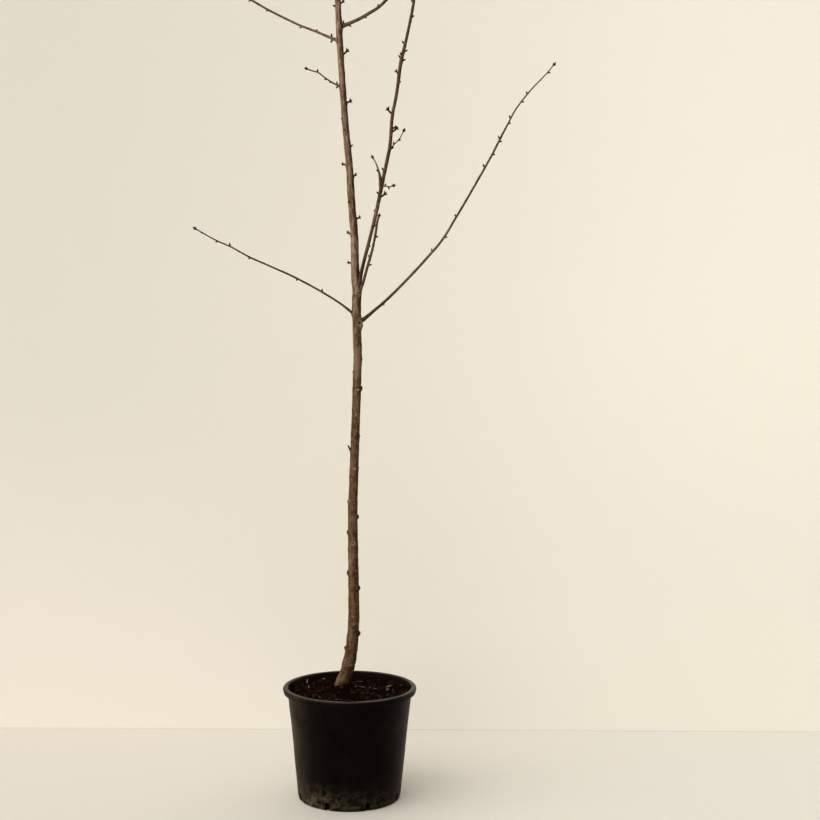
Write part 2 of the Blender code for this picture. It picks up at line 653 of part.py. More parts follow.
def make_bough(name, limb, entries, shoots, split, carriers, limbs):
    """A bough up to its split, and the mass of twigs from there on. With no split it is all one mass."""
    mass = limb_tube("twigs_" + name, limb, split + GAP if split else 0, limb.length, STEM_SIDES)
    grown = growth(limb, entries, split + SPLIT_BARE, limb.length, limbs) + tip_buds(limb)
    for stations in shoots:
        grown += side_shoot(stations)
    combine(mass, grown, "UNION")
    first = mass
    if split:
        first = limb_tube("bough_" + name, limb, 0, split, BOUGH_SIDES)
        combine(first, growth(limb, entries, 0, split - SPLIT_BARE, limbs), "UNION")
    clearance = [
        limb_tube("clearance", carrier, 0, carrier.length, sides, GAP) for carrier, sides in carriers
    ]
    combine(first, clearance, "DIFFERENCE")
    if split:
        finish(first, "bough")
    finish(mass, "twigs")


def rising_line(trunk, root, bearing, length, low, high, thick, thin):
    """Stations of a bough whose slope grows evenly from low to high degrees."""
    place = trunk.at(trunk.at_height(root))
    turn = math.radians(bearing)
    outward = np.array([math.cos(turn), math.sin(turn), 0])
    stations = []
    for number in range(TOP_STATIONS):
        share = number / (TOP_STATIONS - 1)
        stations.append((*place, thick + (thin - thick) * share**TOP_TAPER))
        slope = math.radians(low + (high - low) * share)
        step = outward * math.cos(slope) + np.array([0, 0, math.sin(slope)])
        place = place + step * length / (TOP_STATIONS - 1)
    return stations


def main():
    for old in list(bpy.data.objects):
        bpy.data.objects.remove(old)
    trunk = Limb(TRUNK, TRUNK_STEP, RIGHT)
    trunk.knobs_to = trunk.at_height(KNOB_BELOW)
    boughs = {name: Limb(b["stations"], BOUGH_STEP, b["zero"]) for name, b in BOUGHS.items()}
    tops = {
        name: Limb(rising_line(trunk, *values), BOUGH_STEP, UP) for name, values in TOP_BOUGHS.items()
    }
    limbs = [trunk, *boughs.values(), *tops.values()]
    make_pot()
    make_soil(trunk)
    make_trunk(trunk, limbs)
    for number, (name, limb) in enumerate(boughs.items()):
        facts = BOUGHS[name]
        entries = list(facts["buds"])
        if "rule_from" in facts:
            rng = random.Random(BOUGH_SEED + number)
            end = limb.length - TIP_BARE
            entries += by_rule(limb, facts["rule_from"], end, BOUGH_FIRST * number, rng)
        carriers = [(trunk, TRUNK_SIDES)]
        if name == "fork_shoot":
            carriers.append((boughs["second_leader"], BOUGH_SIDES))
        make_bough(name, limb, entries, facts.get("shoots", []), facts["split"], carriers, limbs)
    for number, (name, limb) in enumerate(tops.items()):
        rng = random.Random(TOP_SEED + number)
        entries = list(by_rule(limb, TOP_BARE, limb.length - TIP_BARE, TOP_FIRST * number, rng))
        make_bough(name, limb, entries, [], limb.length * TOP_SPLIT, [(trunk, TRUNK_SIDES)], limbs)


main()
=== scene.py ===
import math
import random

import bpy
import numpy as np
from mathutils import Matrix, Vector


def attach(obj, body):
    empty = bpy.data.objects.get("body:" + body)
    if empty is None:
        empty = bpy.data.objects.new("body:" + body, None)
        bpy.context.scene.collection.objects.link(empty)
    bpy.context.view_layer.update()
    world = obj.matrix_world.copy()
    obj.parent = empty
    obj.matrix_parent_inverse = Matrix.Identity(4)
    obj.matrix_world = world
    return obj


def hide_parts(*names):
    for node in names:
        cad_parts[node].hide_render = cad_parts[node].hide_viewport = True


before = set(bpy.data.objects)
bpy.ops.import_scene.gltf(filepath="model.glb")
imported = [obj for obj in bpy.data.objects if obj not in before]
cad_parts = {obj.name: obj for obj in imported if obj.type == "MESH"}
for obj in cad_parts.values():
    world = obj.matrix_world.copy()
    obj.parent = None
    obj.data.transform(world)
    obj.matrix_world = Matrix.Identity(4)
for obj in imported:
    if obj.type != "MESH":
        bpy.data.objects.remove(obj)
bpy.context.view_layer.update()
print("frame loaded")


def newObject(name, data):
    made = bpy.data.objects.new(name, data)
    bpy.context.scene.collection.objects.link(made)
    return made


# Camera: the place and the three turns (radians) of the view, and its lens
view = {"place": (0.118, -3.255, 1.064), "yaw": 0.005, "pitch": 0.0533, "roll": 0.0061,
        "lens": 63, "sensor": 36}
yaw, pitch, roll = view["yaw"], view["pitch"], view["roll"]
ahead = Vector((math.sin(yaw) * math.cos(pitch), math.cos(yaw) * math.cos(pitch), -math.sin(pitch)))
level = Vector((math.cos(yaw), -math.sin(yaw), 0))
upward = level.cross(ahead)
across = level * math.cos(roll) + upward * math.sin(roll)
upward = upward * math.cos(roll) - level * math.sin(roll)
camera = newObject("camera", bpy.data.cameras.new("camera"))
camera.data.lens, camera.data.sensor_width = view["lens"], view["sensor"]
camera.matrix_world = Matrix((across, upward, -ahead)).transposed().to_4x4()
camera.location = view["place"]
bpy.context.scene.camera = camera


# A socket whose arithmetic adds Math nodes
class Wire:
    def __init__(self, finish, socket):
        self.finish, self.socket = finish, socket

    def sum(self, operation, *values):
        return self.finish.node("Math", {"operation": operation}, dict(enumerate(values)))

    def __add__(self, other):
        return self.sum("ADD", self, other)

    def __mul__(self, other):
        return self.sum("MULTIPLY", self, other)

    def __sub__(self, other):
        return self.sum("SUBTRACT", self, other)

    def __rsub__(self, other):
        return self.sum("SUBTRACT", other, self)

    __radd__, __rmul__ = __add__, __mul__

    def most(self, other):
        return self.sum("MAXIMUM", self, other)

    # 0 below low, 1 above high and a smooth step between them; low may be the larger
    def step(self, low, high):
        return self.finish.node("MapRange", {"interpolation_type": "SMOOTHSTEP"}, {0: self, 1: low, 2: high})


# The finish of a material or of the world, whose nodes are added one by one, each from its
# type, settings and inputs
class Finish:
    def __init__(self, name, owners=bpy.data.materials, shader="Principled BSDF"):
        self.owner = owners.new(name)
        self.owner.use_nodes = True
        self.tree = self.owner.node_tree
        self.shader = self.tree.nodes[shader]

    def node(self, kind, settings=None, values=None, out=0):
        made = self.tree.nodes.new("ShaderNode" + kind)
        for key, value in (settings or {}).items():
            setattr(made, key, value)
        for key, value in (values or {}).items():
            self.feed(made.inputs[key], value)
        return Wire(self, made.outputs[out])

    def feed(self, socket, value):
        if isinstance(value, Wire):
            self.tree.links.new(value.socket, socket)
        else:
            socket.default_value = value

    def place(self):
        return self.node("TexCoord", out="Object")

    def own(self, name):
        return self.node("Attribute", {"attribute_name": name}, out="Vector")

    def part(self, vector, axis):
        return self.node("SeparateXYZ", None, {0: vector}, axis)

    def vector(self, operation, *values, out=0):
        return self.node("VectorMath", {"operation": operation}, dict(enumerate(values)), out)

    # Noise on a vector drawn out or flattened along Z
    def noise(self, vector, scale, detail=3, roughness=0.55, tall=1):
        if tall != 1:
            vector = self.vector("MULTIPLY", vector, (1, 1, tall))
        return self.node("TexNoise", None, {
            "Vector": vector, "Scale": scale, "Detail": detail, "Roughness": roughness})

    def cells(self, vector, scale, jitter=1):
        return self.node("TexVoronoi", None, {
            "Vector": vector, "Scale": scale, "Randomness": jitter}, "Distance")

    def mix(self, share, first, second):
        first, second = [(*c, 1) if isinstance(c, tuple) else c for c in (first, second)]
        return self.node("Mix", {"data_type": "RGBA"}, {0: share, 6: first, 7: second}, 2)

    def bump(self, height, distance):
        return self.node("Bump", None, {"Height": height, "Distance": distance, "Strength": 1})

    def end(self, **inputs):
        for name, value in inputs.items():
            self.feed(self.shader.inputs[name.replace("_", " ")],
                      (*value, 1) if isinstance(value, tuple) else value)
        return self.owner


# Points (rings, sides, 3) closed round the sides, with a pole in the middle of each end
def ringSurface(rings):
    n, m = rings.shape[:2]
    points = np.concatenate([rings.reshape(-1, 3), rings[:1].mean(1), rings[-1:].mean(1)])
    i, j = np.meshgrid(np.arange(n - 1), np.arange(m), indexing="ij")
    k = (j + 1) % m
    quads = np.stack([i * m + j, i * m + k, (i + 1) * m + k, (i + 1) * m + j], -1).reshape(-1, 4)
    first = np.stack([np.full(m, n * m), k[0], j[0]], -1)
    last = np.stack([np.full(m, n * m + 1), (n - 1) * m + j[0], (n - 1) * m + k[0]], -1)
    return points, quads, np.concatenate([first, last])


# Several surfaces as one: their points one after the other, with each one's faces moved up
def joined(surfaces):
    starts = np.cumsum([0] + [len(surface[0]) for surface in surfaces])
    faces = [np.concatenate([surface[k] + start for surface, start in zip(surfaces, starts)]) for k in (1, 2)]
    return np.concatenate([surface[0] for surface in surfaces]), *faces


# A mesh of the surface that rides the part's frame and takes a slot; vectors are its own
# attributes, and edges sharper than the crease's degrees stay sharp
def makePiece(name, surface, material, nodes=(), vectors=None, crease=None):
    points, quads, tris = surface
    mesh = bpy.data.meshes.new(name)
    mesh.vertices.add(len(points))
    mesh.vertices.foreach_set("co", points.astype(np.float32).ravel())
    corners = np.concatenate([quads.ravel(), tris.ravel()])
    starts = np.concatenate([np.arange(len(quads)) * 4, len(quads) * 4 + np.arange(len(tris)) * 3])
    mesh.loops.add(len(corners))
    mesh.loops.foreach_set("vertex_index", corners.astype(np.int32))
    mesh.polygons.add(len(starts))
    mesh.polygons.foreach_set("loop_start", starts.astype(np.int32))
    mesh.update(calc_edges=True)
    for key, values in (vectors or {}).items():
        layer = mesh.attributes.new(key, "FLOAT_VECTOR", "POINT")
        layer.data.foreach_set("vector", values.astype(np.float32).ravel())
    mesh.shade_smooth()
    if crease:
        mesh.set_sharp_from_angle(angle=math.radians(crease))
    mesh.materials.append(material)
    piece = newObject(name, mesh)
    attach(piece, "root")
    if nodes:
        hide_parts(*nodes)
    print(name, len(quads) * 2 + len(tris), "triangles")
    return piece


# Each vector over its length
def unit(vectors):
    return vectors / np.linalg.norm(vectors, axis=-1, keepdims=True)


# Even bearings all the way round
def turns(count):
    return np.linspace(0, 2 * np.pi, count, endpoint=False)


# A smooth hump, exp(-x^2 - y^2)
def hump(x, y=0):
    return np.exp(-(x**2) - y**2)


# Circles about a line: its points, plus cos(turn) of one way and sin(turn) of the other,
# times the radius
def circles(line, first, second, turn, radius):
    across = first[..., None, :] * np.cos(turn)[..., None] + second[..., None, :] * np.sin(turn)[..., None]
    return line[..., None, :] + across * radius[..., None]


# Rows of a table with the named columns turned from millimetres into metres
def metres(rows, columns=range(4)):
    return [tuple(v / 1000 if k in columns else v for k, v in enumerate(row)) for row in rows]


# The limbs, in millimetres. A station is x, y, z and the diameter there
up, right = (0, 0, 1), (1, 0, 0)
trunkStations = [
    (-28, 31, 232, 34.5), (-20, 30, 248, 32.5), (-8, 28, 282, 30.8), (0, 25, 318, 29.6), (4, 22, 348, 27.4),
    (7, 19, 387, 26.4), (7, 12, 505, 23.8), (6, 9, 575, 22.9), (5, 5, 660, 21.6), (7, 2, 729, 20.4),
    (11, 0, 860, 19.3), (14, 0, 969, 19.1), (15, 0, 1015, 19), (13, 0, 1071, 19.4), (12, 0, 1134, 20.3),
    (12, 0, 1158, 20.9), (10, 0, 1184, 19.7), (8, 0, 1222, 18.2), (7, 0, 1270, 17.5), (-1, 0, 1368, 16.7),
    (-4, 0, 1420, 16.2), (-13, 0, 1513, 15), (-21, 0, 1612, 14.4), (-27, 0, 1700, 14.1),
    (-33, 0, 1808, 12.8), (-37, 4, 1950, 10), (-45, 9, 2130, 7.2), (-47, 10, 2330, 3.4),
]
# Side growths of the trunk: height, bearing, length and, where it differs, the lean
trunkGrowths = [
    (337, 180, 5), (374, 0, 6.5), (480, 350, 6), (515, 180, 6), (552, 85, 6), (609, 180, 5), (645, 0, 6),
    (680, 180, 4), (722, 95, 6), (757, 345, 3), (795, 190, 15, 2.4), (831, 0, 3), (905, 80, 6), (939, 0, 6),
    (976, 180, 3), (1005, 0, 3), (1037, 315, 3), (1222, 180, 11, 0.3), (1251, 85, 10), (1288, 180, 12, 0.7),
    (1321, 0, 12, 0.35), (1358, 225, 4), (1376, 100, 12), (1416, 0, 11, 0.8), (1443, 180, 12, 0.3),
    (1462, 75, 9), (1482, 0, 7), (1538, 98, 13), (1545, 200, 3), (1580, 0, 15, 0.4), (1640, 82, 12),
    (1688, 0, 18, 0.85), (1768, 95, 10), (1793, 205, 8, 0.5), (1799, 335, 14, 0.6),
]
# Growths of a limb go by the distance from its root and the bearing from zero. split is
# where a bough ends and its twig wood goes on
limbFacts = {
    "low_right": {
        "stations": [
            (12, 0, 1084, 11), (26, 10, 1094, 9.5), (47, 25, 1112, 7.2), (71, 40, 1133, 6.6),
            (120, 63, 1182, 6.2), (171, 81, 1238, 6), (207, 90, 1281, 5.7), (238, 96, 1332, 5.3),
            (287, 104, 1417, 5), (324, 107, 1484, 5), (344, 108, 1524, 5), (359, 109, 1553, 3.9),
            (373, 111, 1580, 3.7), (409, 112, 1628, 3.3), (451, 114, 1673, 2.7), (465, 114, 1690, 2.3),
        ],
        "zero": up, "split": 330,
        "growths": [
            (85, 180, 4), (150, 90, 4), (215, 270, 4), (259, 0, 5), (304, 180, 5), (358, 0, 6),
            (403, 270, 4), (450, 90, 5), (491, 0, 8), (526, 180, 5), (560, 180, 6), (566, 0, 7),
            (573, 270, 6), (607, 180, 5), (620, 0, 7), (666, 180, 6), (688, 0, 6), (732, 270, 6),
            (757, 180, 6),
        ],
    },
    "low_left": {
        "stations": [
            (11, 1, 1103, 8.5), (2, -4, 1110, 6.8), (-14, -13, 1123, 4.9), (-64, -39, 1155, 4.5),
            (-120, -67, 1185, 4.3), (-181, -96, 1212, 4), (-216, -111, 1227, 3.8), (-257, -130, 1249, 3.3),
            (-285, -141, 1261, 3), (-330, -159, 1286, 2.4),
        ],
        "zero": up, "split": 190,
        "growths": [
            (100, 0, 6), (138, 90, 4), (165, 180, 4), (203, 270, 4), (284, 180, 4), (312, 90, 5),
            (335, 0, 7), (365, 180, 4), (401, 90, 6),
        ],
    },
    "second_leader": {
        "stations": [
            (11, -3, 1148, 11), (17, -7, 1166, 9.2), (23, -12, 1201, 8), (40, -22, 1269, 7.6),
            (55, -31, 1329, 8.2), (64, -38, 1371, 8.6), (67, -40, 1387, 8.8), (77, -46, 1433, 7.9),
            (86, -53, 1479, 7.7), (92, -63, 1549, 7.4), (98, -67, 1577, 7), (110, -79, 1659, 8.2),
            (121, -86, 1706, 6.5), (131, -92, 1752, 6.4), (140, -99, 1805, 6.1), (155, -108, 1890, 5.3),
            (174, -118, 2000, 4.2), (190, -125, 2130, 3),
        ],
        "zero": right, "split": 208, "ruleFrom": 690,
        "growths": [
            (116, 0, 3), (160, 270, 4), (196, 180, 3), (230, 0, 17, 1.2), (235, 180, 6), (288, 180, 7, 1),
            (300, 90, 9), (337, 350, 8), (374, 0, 18, 1), (381, 10, 9), (413, 180, 18, 0.9), (440, 95, 9),
            (482, 0, 3), (501, 180, 10, 0.9), (529, 0, 7), (534, 180, 7), (540, 222, 7), (549, 0, 7),
            (565, 180, 7), (599, 270, 4), (624, 0, 5), (655, 200, 5),
        ],
        "shoots": [
            [(66, -38, 1378, 6), (65, -43, 1394, 7), (64, -47, 1412, 6.2), (60, -52, 1427, 3.8),
             (56, -56, 1438, 2.8), (48, -60, 1452, 2.2)],
            [(68, -40, 1388, 3.2), (78, -50, 1390, 2.8), (85, -56, 1388, 2.6), (95, -63, 1390, 2.4)],
            [(85, -51, 1470, 3.2), (94, -62, 1479, 2.8), (107, -74, 1491, 2.5), (117, -83, 1508, 2.2)],
        ],
    },
    "fork_shoot": {
        "stations": [
            (15, -4, 1146, 7.6), (23, -10, 1166, 6.6), (38, -26, 1217, 6.2), (48, -37, 1251, 5.8),
            (55, -48, 1285, 5.5), (60, -56, 1315, 5), (63, -59, 1324, 4.2),
        ],
        "zero": right, "split": 0,
        "growths": [
            (49, 180, 4), (78, 0, 7, 0.6), (97, 180, 4), (144, 0, 6), (169, 180, 5, 0.2),
        ],
    },
    "upper_left": {
        "stations": [
            (-29, 0, 1712, 8.8), (-37, 6, 1721, 7.8), (-46, 10, 1725, 6.6), (-83, 25, 1743, 5.4),
            (-117, 39, 1758, 5.1), (-153, 54, 1777, 5), (-216, 81, 1814, 4.8), (-285, 108, 1864, 4.3),
            (-335, 126, 1911, 3.7), (-380, 140, 1965, 2.8),
        ],
        "zero": up, "split": 160, "ruleFrom": 250,
        "growths": [
            (22, 180, 8, 0.3), (26, 0, 8, 0.7), (66, 0, 4), (107, 180, 5), (130, 90, 5), (151, 270, 3),
            (178, 90, 6), (204, 180, 4), (230, 270, 6),
        ],
    },
    "upper_right": {
        "stations": [
            (-29, 0, 1744, 8.8), (-24, 4, 1750, 11.2), (-17, 8, 1754, 9), (7, 20, 1767, 7.4),
            (34, 34, 1785, 7.4), (61, 48, 1806, 7.1), (73, 57, 1820, 6.9), (108, 74, 1866, 6.5),
            (156, 98, 1940, 5.8), (204, 120, 2028, 4.7), (239, 135, 2125, 3),
        ],
        "zero": up, "split": 170, "ruleFrom": 190,
        "growths": [
            (16, 0, 7, 0.4), (28, 180, 6), (50, 90, 4), (73, 180, 4), (116, 0, 4), (148, 270, 6),
        ],
    },
    "side_twig": {
        "stations": [
            (-20, 0, 1615, 6.8), (-28, -2, 1617, 5.6), (-34, -4, 1619, 4.2), (-58, -11, 1632, 3.3),
            (-78, -17, 1645, 3.2), (-88, -20, 1647, 3), (-101, -25, 1651, 2.8),
        ],
        "zero": up, "split": 0,
        "growths": [
            (12, 180, 7, 0.6), (15, 0, 7, 0.6), (31, 180, 3), (43, 180, 4), (67, 0, 6, 0.3),
        ],
    },
}
# Top boughs: root height, bearing, length, slope at the root and tip, diameters there
topFacts = {
    "top_back": (1832, 98, 420, 32, 62, 8, 2.8),
    "top_front": (1866, 252, 400, 36, 62, 7.6, 2.8),
    "top_right": (1902, 352, 330, 42, 68, 6.8, 2.6),
    "top_left": (1934, 186, 290, 44, 68, 6.2, 2.6),
}
growthRule = {
    "pitch": 0.042, "jitter": 0.006, "spiral": 137.5, "oldWood": 0.35, "spur": 0.013, "bud": 0.006,
    "least": 0.85, "growth": 1.25, "clearance": 0.004, "budMost": 0.008, "budLean": 0.9, "spurLean": 0.5,
    "thornLean": 2, "splitBare": 0.006, "tipBare": 0.02, "topBare": 0.03, "trunkFrom": 1.845,
    "topStations": 6, "topSplit": 0.45, "topTaper": 0.6, "shootBuds": ((0.3, 0), (0.6, 180)),
}


# A limb's line: a cubic through its stations, passed in the direction of their neighbours
class Limb:
    def __init__(self, stations, zero, step):
        table = np.array(stations)
        places = table[:, :3]
        lengths = np.linalg.norm(np.diff(places, axis=0), axis=1)
        knots = np.concatenate([[0], np.cumsum(lengths)])
        slopes = np.gradient(places, knots, axis=0)
        self.along = np.linspace(0, knots[-1], round(knots[-1] / step) + 1)
        i = np.clip(np.searchsorted(knots, self.along, side="right") - 1, 0, len(lengths) - 1)
        t = ((self.along - knots[i]) / lengths[i])[:, None]
        span = lengths[i][:, None]
        self.points = ((1 + 2 * t) * (1 - t) ** 2 * places[i] + t * (1 - t) ** 2 * span * slopes[i]
                       + t**2 * (3 - 2 * t) * places[i + 1] + t**2 * (t - 1) * span * slopes[i + 1])
        self.radii = np.interp(self.along, knots, table[:, 3] / 2)
        self.length = knots[-1]
        self.forwards = unit(np.gradient(self.points, self.along, axis=0))
        zero = np.array(zero, float)
        self.firsts = unit(zero - (self.forwards @ zero)[:, None] * self.forwards)
        self.seconds = np.cross(self.forwards, self.firsts)
        self.split, self.growths = 0, []

    def read(self, values, distance):
        return np.array([np.interp(distance, self.along, values[:, k]) for k in range(3)]).T

    def radius(self, distance):
        return np.interp(distance, self.along, self.radii)

    def atHeight(self, height):
        return np.interp(height, self.points[:, 2], self.along)

    # Where a side growth leaves the bark, the way out of the bark and along the limb
    def leaves(self, distance, bearing):
        turn = np.radians(bearing)
        out = unit(np.cos(turn) * self.read(self.firsts, distance)
                   + np.sin(turn) * self.read(self.seconds, distance))
        return (self.read(self.points, distance) + out * self.radius(distance), out,
                unit(self.read(self.forwards, distance)))


# Growths every pitch to near the tip, each a spiral turn from the one before, spurs where
# the wood is old
def byRule(limb, start, first, seed):
    rule, found, draw = growthRule, [], random.Random(seed)
    end = limb.length - rule["tipBare"]
    for number in range(int((end - start) / rule["pitch"]) + 1):
        distance = start + number * rule["pitch"] + draw.uniform(-rule["jitter"], rule["jitter"])
        old = distance < limb.length * rule["oldWood"] and number % 2 == 0
        length = (rule["spur"] if old else rule["bud"]) * draw.uniform(rule["least"], rule["growth"])
        if start <= distance <= end:
            found.append((distance, first + number * rule["spiral"], length))
    return found


# How far a growth leans along its limb: its own lean, or else the usual one
def leanOf(entry, usual):
    return entry[3] if entry[3:] else growthRule[usual]


# Whether a growth's tip stays off the other limbs
def isClear(limb, entry):
    surface, out, forward = limb.leaves(*entry[:2])
    tip = surface + unit(out + forward * leanOf(entry, "spurLean")) * entry[2]
    return all(np.min(np.linalg.norm(other.points - tip, axis=1) - other.radii)
               > growthRule["clearance"] for other in everyLimb if other is not limb)


# Stations of a bough whose slope grows evenly from low to high degrees
def risingLine(root, bearing, length, low, high, thick, thin):
    place = trunk.read(trunk.points, trunk.atHeight(root))
    turn, steps, stations = math.radians(bearing), growthRule["topStations"], []
    outward = np.array([math.cos(turn), math.sin(turn), 0])
    for number in range(steps):
        share = number / (steps - 1)
        stations.append((*place, thick + (thin - thick) * share ** growthRule["topTaper"]))
        slope = math.radians(low + (high - low) * share)
        place = place + (outward * math.cos(slope) + np.array([0, 0, math.sin(slope)])) * length / (steps - 1)
    return stations


barkGrid = {"trunkStep": 0.00132, "limbStep": 0.0013, "trunkSides": 60, "boughSides": 24, "twigSides": 14}
trunk = Limb(metres(trunkStations), right, barkGrid["trunkStep"])
trunk.growths = [(trunk.atHeight(z), *rest) for z, *rest in metres(trunkGrowths, (0, 2))]
trunk.growths += byRule(trunk, trunk.atHeight(growthRule["trunkFrom"]), 60, 3)
limbs = {}
for number, (name, facts) in enumerate(limbFacts.items()):
    limb = limbs[name] = Limb(metres(facts["stations"]), facts["zero"], barkGrid["limbStep"])
    limb.split, limb.growths = facts["split"] / 1000, metres(facts["growths"], (0, 2))
    if "ruleFrom" in facts:
        limb.growths += byRule(limb, facts["ruleFrom"] / 1000, 40 * number, 100 + number)
for number, (name, facts) in enumerate(zip(topFacts, metres(topFacts.values(), (0, 2, 5, 6)))):
    limb = limbs[name] = Limb(risingLine(*facts), up, barkGrid["limbStep"])
    limb.split = limb.length * growthRule["topSplit"]
    limb.growths = byRule(limb, growthRule["topBare"], 70 * number, 200 + number)
everyLimb = [trunk, *limbs.values()]
for limb in everyLimb:
    limb.growths = [entry for entry in limb.growths if isClear(limb, entry)]
shoots = [Limb(metres(stations), up, barkGrid["limbStep"])
          for stations in limbFacts["second_leader"]["shoots"]]
for shoot in shoots:
    shoot.growths = [(shoot.length * share, bearing, growthRule["bud"])
                     for share, bearing in growthRule["shootBuds"]]
print("limbs laid out")

# Bark relief, in metres: the lobes and wrinkles, each with how many waves it sums, their
# crests round the limb and their lengths along it, the cushion under a bud, the scar there,
# the pores, the rings where a year's growth ended and the collars where limbs leave
bark = {
    "lobe": 0.02, "lobeWaves": (26, (1, 4), (0.018, 0.11)), "wrinkle": 0.00016,
    "wrinkleWaves": (34, (4, 13), (0.014, 0.08)), "fullRadius": 0.008, "thickness": (0.25, 1.2),
    "cushion": 0.0009, "cushionWide": 0.0042, "cushionTall": 0.0065,
    "scar": 0.00035, "scarWide": 0.0022, "scarTall": 0.0012, "scarBelow": 0.004,
    "pore": 0.00022, "poreWide": 0.003, "poreTall": 0.00085, "poreRow": 0.0105, "poreTurns": 4,
    "ring": 0.00028, "ringTall": 0.0013, "ringSway": 0.0012, "grooveTall": 0.0009, "grooveAbove": 0.0021,
    "yearRings": (0.16, 0.42, 0.43, 0.71), "yearStrength": 0.8, "yearJitter": 0.01,
    "collar": 0.0016, "collarReach": 0.0092, "collarRadius": 0.004, "crease": 75,
}
# Marks of the trunk that show: height, bearing, half width and half height, relief, then
# how dark, pale and red the bark is there, left out from where all the rest is nought. The
# dark tones at the foot and on the right of the trunk are partly painted shade
trunkMarks = [
    (303, 290, 4, 1.2, 0.3, 0, 0.9), (260, 205, 10, 10, 2.6, 0, 0.25, 0.1), (248, 322, 15, 15, 0, 0.95),
    (250, 275, 11, 10, 0, 0.75), (270, 330, 8, 15, 0, 0.65, 0, 0.1), (278, 262, 5, 6, 0, 0.3, 0, 0.2),
    (409, 255, 2, 2.2, -0.4, 0.9), (407, 275, 2.2, 1.6, -0.4, 0.8), (416, 262, 4.5, 1.3, 0.5, 0, 0.5),
    (399, 262, 5, 1.5, 0.5, 0, 0.4, 0.2), (483, 285, 6, 4.2, 0.3, 0.25, 0, 0.8),
    (508, 218, 1.6, 2, -0.3, 0.9), (502, 300, 3.5, 8, -0.2, 0.55, 0, 0.3),
    (530, 320, 3, 10, 0, 0.35, 0, 0.2), (585, 270, 5.8, 5, 0.7, 0, 0.65),
    (586, 270, 2.6, 2.2, -1.6, 1, 0, 0.1), (683, 215, 4, 3.6, 0.4, 0, 0.7),
    (757, 282, 3.2, 2.8, 0.4, 0, 0.8), (760, 300, 1.8, 2.4, -0.3, 0.8), (801, 205, 5, 6, 0.6, 0.1, 0, 0.2),
    (880, 240, 2.6, 2.8, -0.5, 1), (880, 275, 4, 3.4, 0.3, 0, 0.6), (865, 270, 10, 1.2, 0.4, 0.15, 0.2),
    (936, 286, 3.6, 2, 0.4, 0, 1), (943, 320, 3.4, 3.4, 0.8, 0.55, 0, 0.2), (932, 318, 3, 1.8, -0.3, 0.7),
    (1036, 270, 1.6, 3.6, -0.7, 1, 0, 0.3), (1036, 270, 3.8, 6, 0.3, 0, 0.15, 0.7),
    (1023, 305, 1.3, 1.5, -0.3, 0.9), (1010, 262, 6, 15, 0, 0, 0, 0.9), (1052, 265, 7, 10, 0, 0, 0, 0.6),
    (1087, 308, 3.2, 3.6, -2.4, 1, 0, 0.3), (1086, 316, 7.4, 8.2, 2, 0, 0.6, 0.3),
    (1076, 345, 6, 5, 1.6, 0.2, 0, 0.3), (1176, 268, 7, 1.2, 0.4, 0, 0.6),
    (1190, 282, 1.2, 18, 0.5, 0, 0.6), (1195, 308, 5, 26, -0.3, 0.5, 0, 1), (1230, 235, 3.6, 12, 0, 0, 0.5),
    (1465, 300, 4.5, 50, 0, 0.05, 0, 0.8), (1409, 222, 7, 20, 0, 0.52, 0, 0.2),
    (1331, 288, 5, 28, 0, 0.28, 0, 0.8), (1545, 228, 4.5, 22, 0, 0.18, 0, 0.1),
    (1590, 300, 3.6, 26, 0, 0.3, 0, 0.8), (1655, 275, 3, 24, 0, 0.2, 0, 0.7),
    (1722, 290, 5.5, 26, 0, 0.38, 0, 0.8), (1787, 265, 4, 18, 0, 0, 0.35, 0.4),
    (700, 265, 5, 20, 0, 0.15, 0, 0.5), (555, 260, 6, 16, 0, 0, 0.15, 0.4),
    (440, 285, 7, 16, 0, 0.2, 0, 0.7), (350, 290, 6, 18, 0, 0.15, 0, 0.6),
    (1106, 202, 4.5, 6, 1.8, 0.1, 0.2, 0.5), (1082, 352, 6, 5, 2.6, 0, 0.2, 0.4),
    (1070, 250, 6, 8, 0, 0, 0.25), (1358, 240, 2.6, 3, -0.3, 0.8), (1519, 250, 3, 3.6, -0.3, 0.9, 0, 0.2),
    (1560, 200, 2, 6, -0.2, 0.7), (1240, 262, 5, 18, 0, 0, 0.15), (1610, 262, 3, 6, 0.2, 0, 0.5, 0.2),
    (1290, 270, 3, 9, 0, 0.25, 0, 0.4), (1672, 258, 3, 5, 0, 0, 0.6), (1631, 248, 6, 18, 0, 0, 0.5),
    (998, 258, 7.5, 42, 0, 0, 0.45, 0.7), (905, 265, 9, 30, 0, 0, 0.12), (251, 238, 4, 3, 0.3, 0, 0.5),
    (262, 228, 3, 8, 0.2, 0, 0.3), (256, 290, 5, 6, 0, 0.5, 0, 0.2), (1543, 272, 5, 16, 0, 0, 0.45, 0.5),
    (1476, 275, 4.5, 20, 0, 0, 0.3, 0.5), (455, 228, 9, 20, 0, 0.36, 0, 0.2), (547, 228, 6, 16, 0, 0, 0.25),
    (1476, 215, 5.5, 20, 0, 0.42, 0, 0.3), (1250, 214, 5, 16, 0, 0.22, 0, 0.1),
    (1252, 318, 4, 16, 0, 0, 0.3, 0.1), (1140, 215, 5, 14, 0, 0.26, 0, 0.2),
    (731, 225, 6, 18, 0, 0.24, 0, 0.1), (822, 225, 6, 18, 0, 0.2, 0, 0.1), (640, 285, 7, 15, 0, 0, 0.22),
]
# Rings of the trunk, where a year's growth ended: height and strength
trunkRings = [
    (446, 0.4), (632, 0.3), (866, 0.4), (1046, 0.3), (1152, 1.6), (1157, 1.2), (1300, 0.4), (1486, 0.4),
    (1706, 0.5), (1845, 0.8), (1849, 0.6), (2050, 0.6),
]


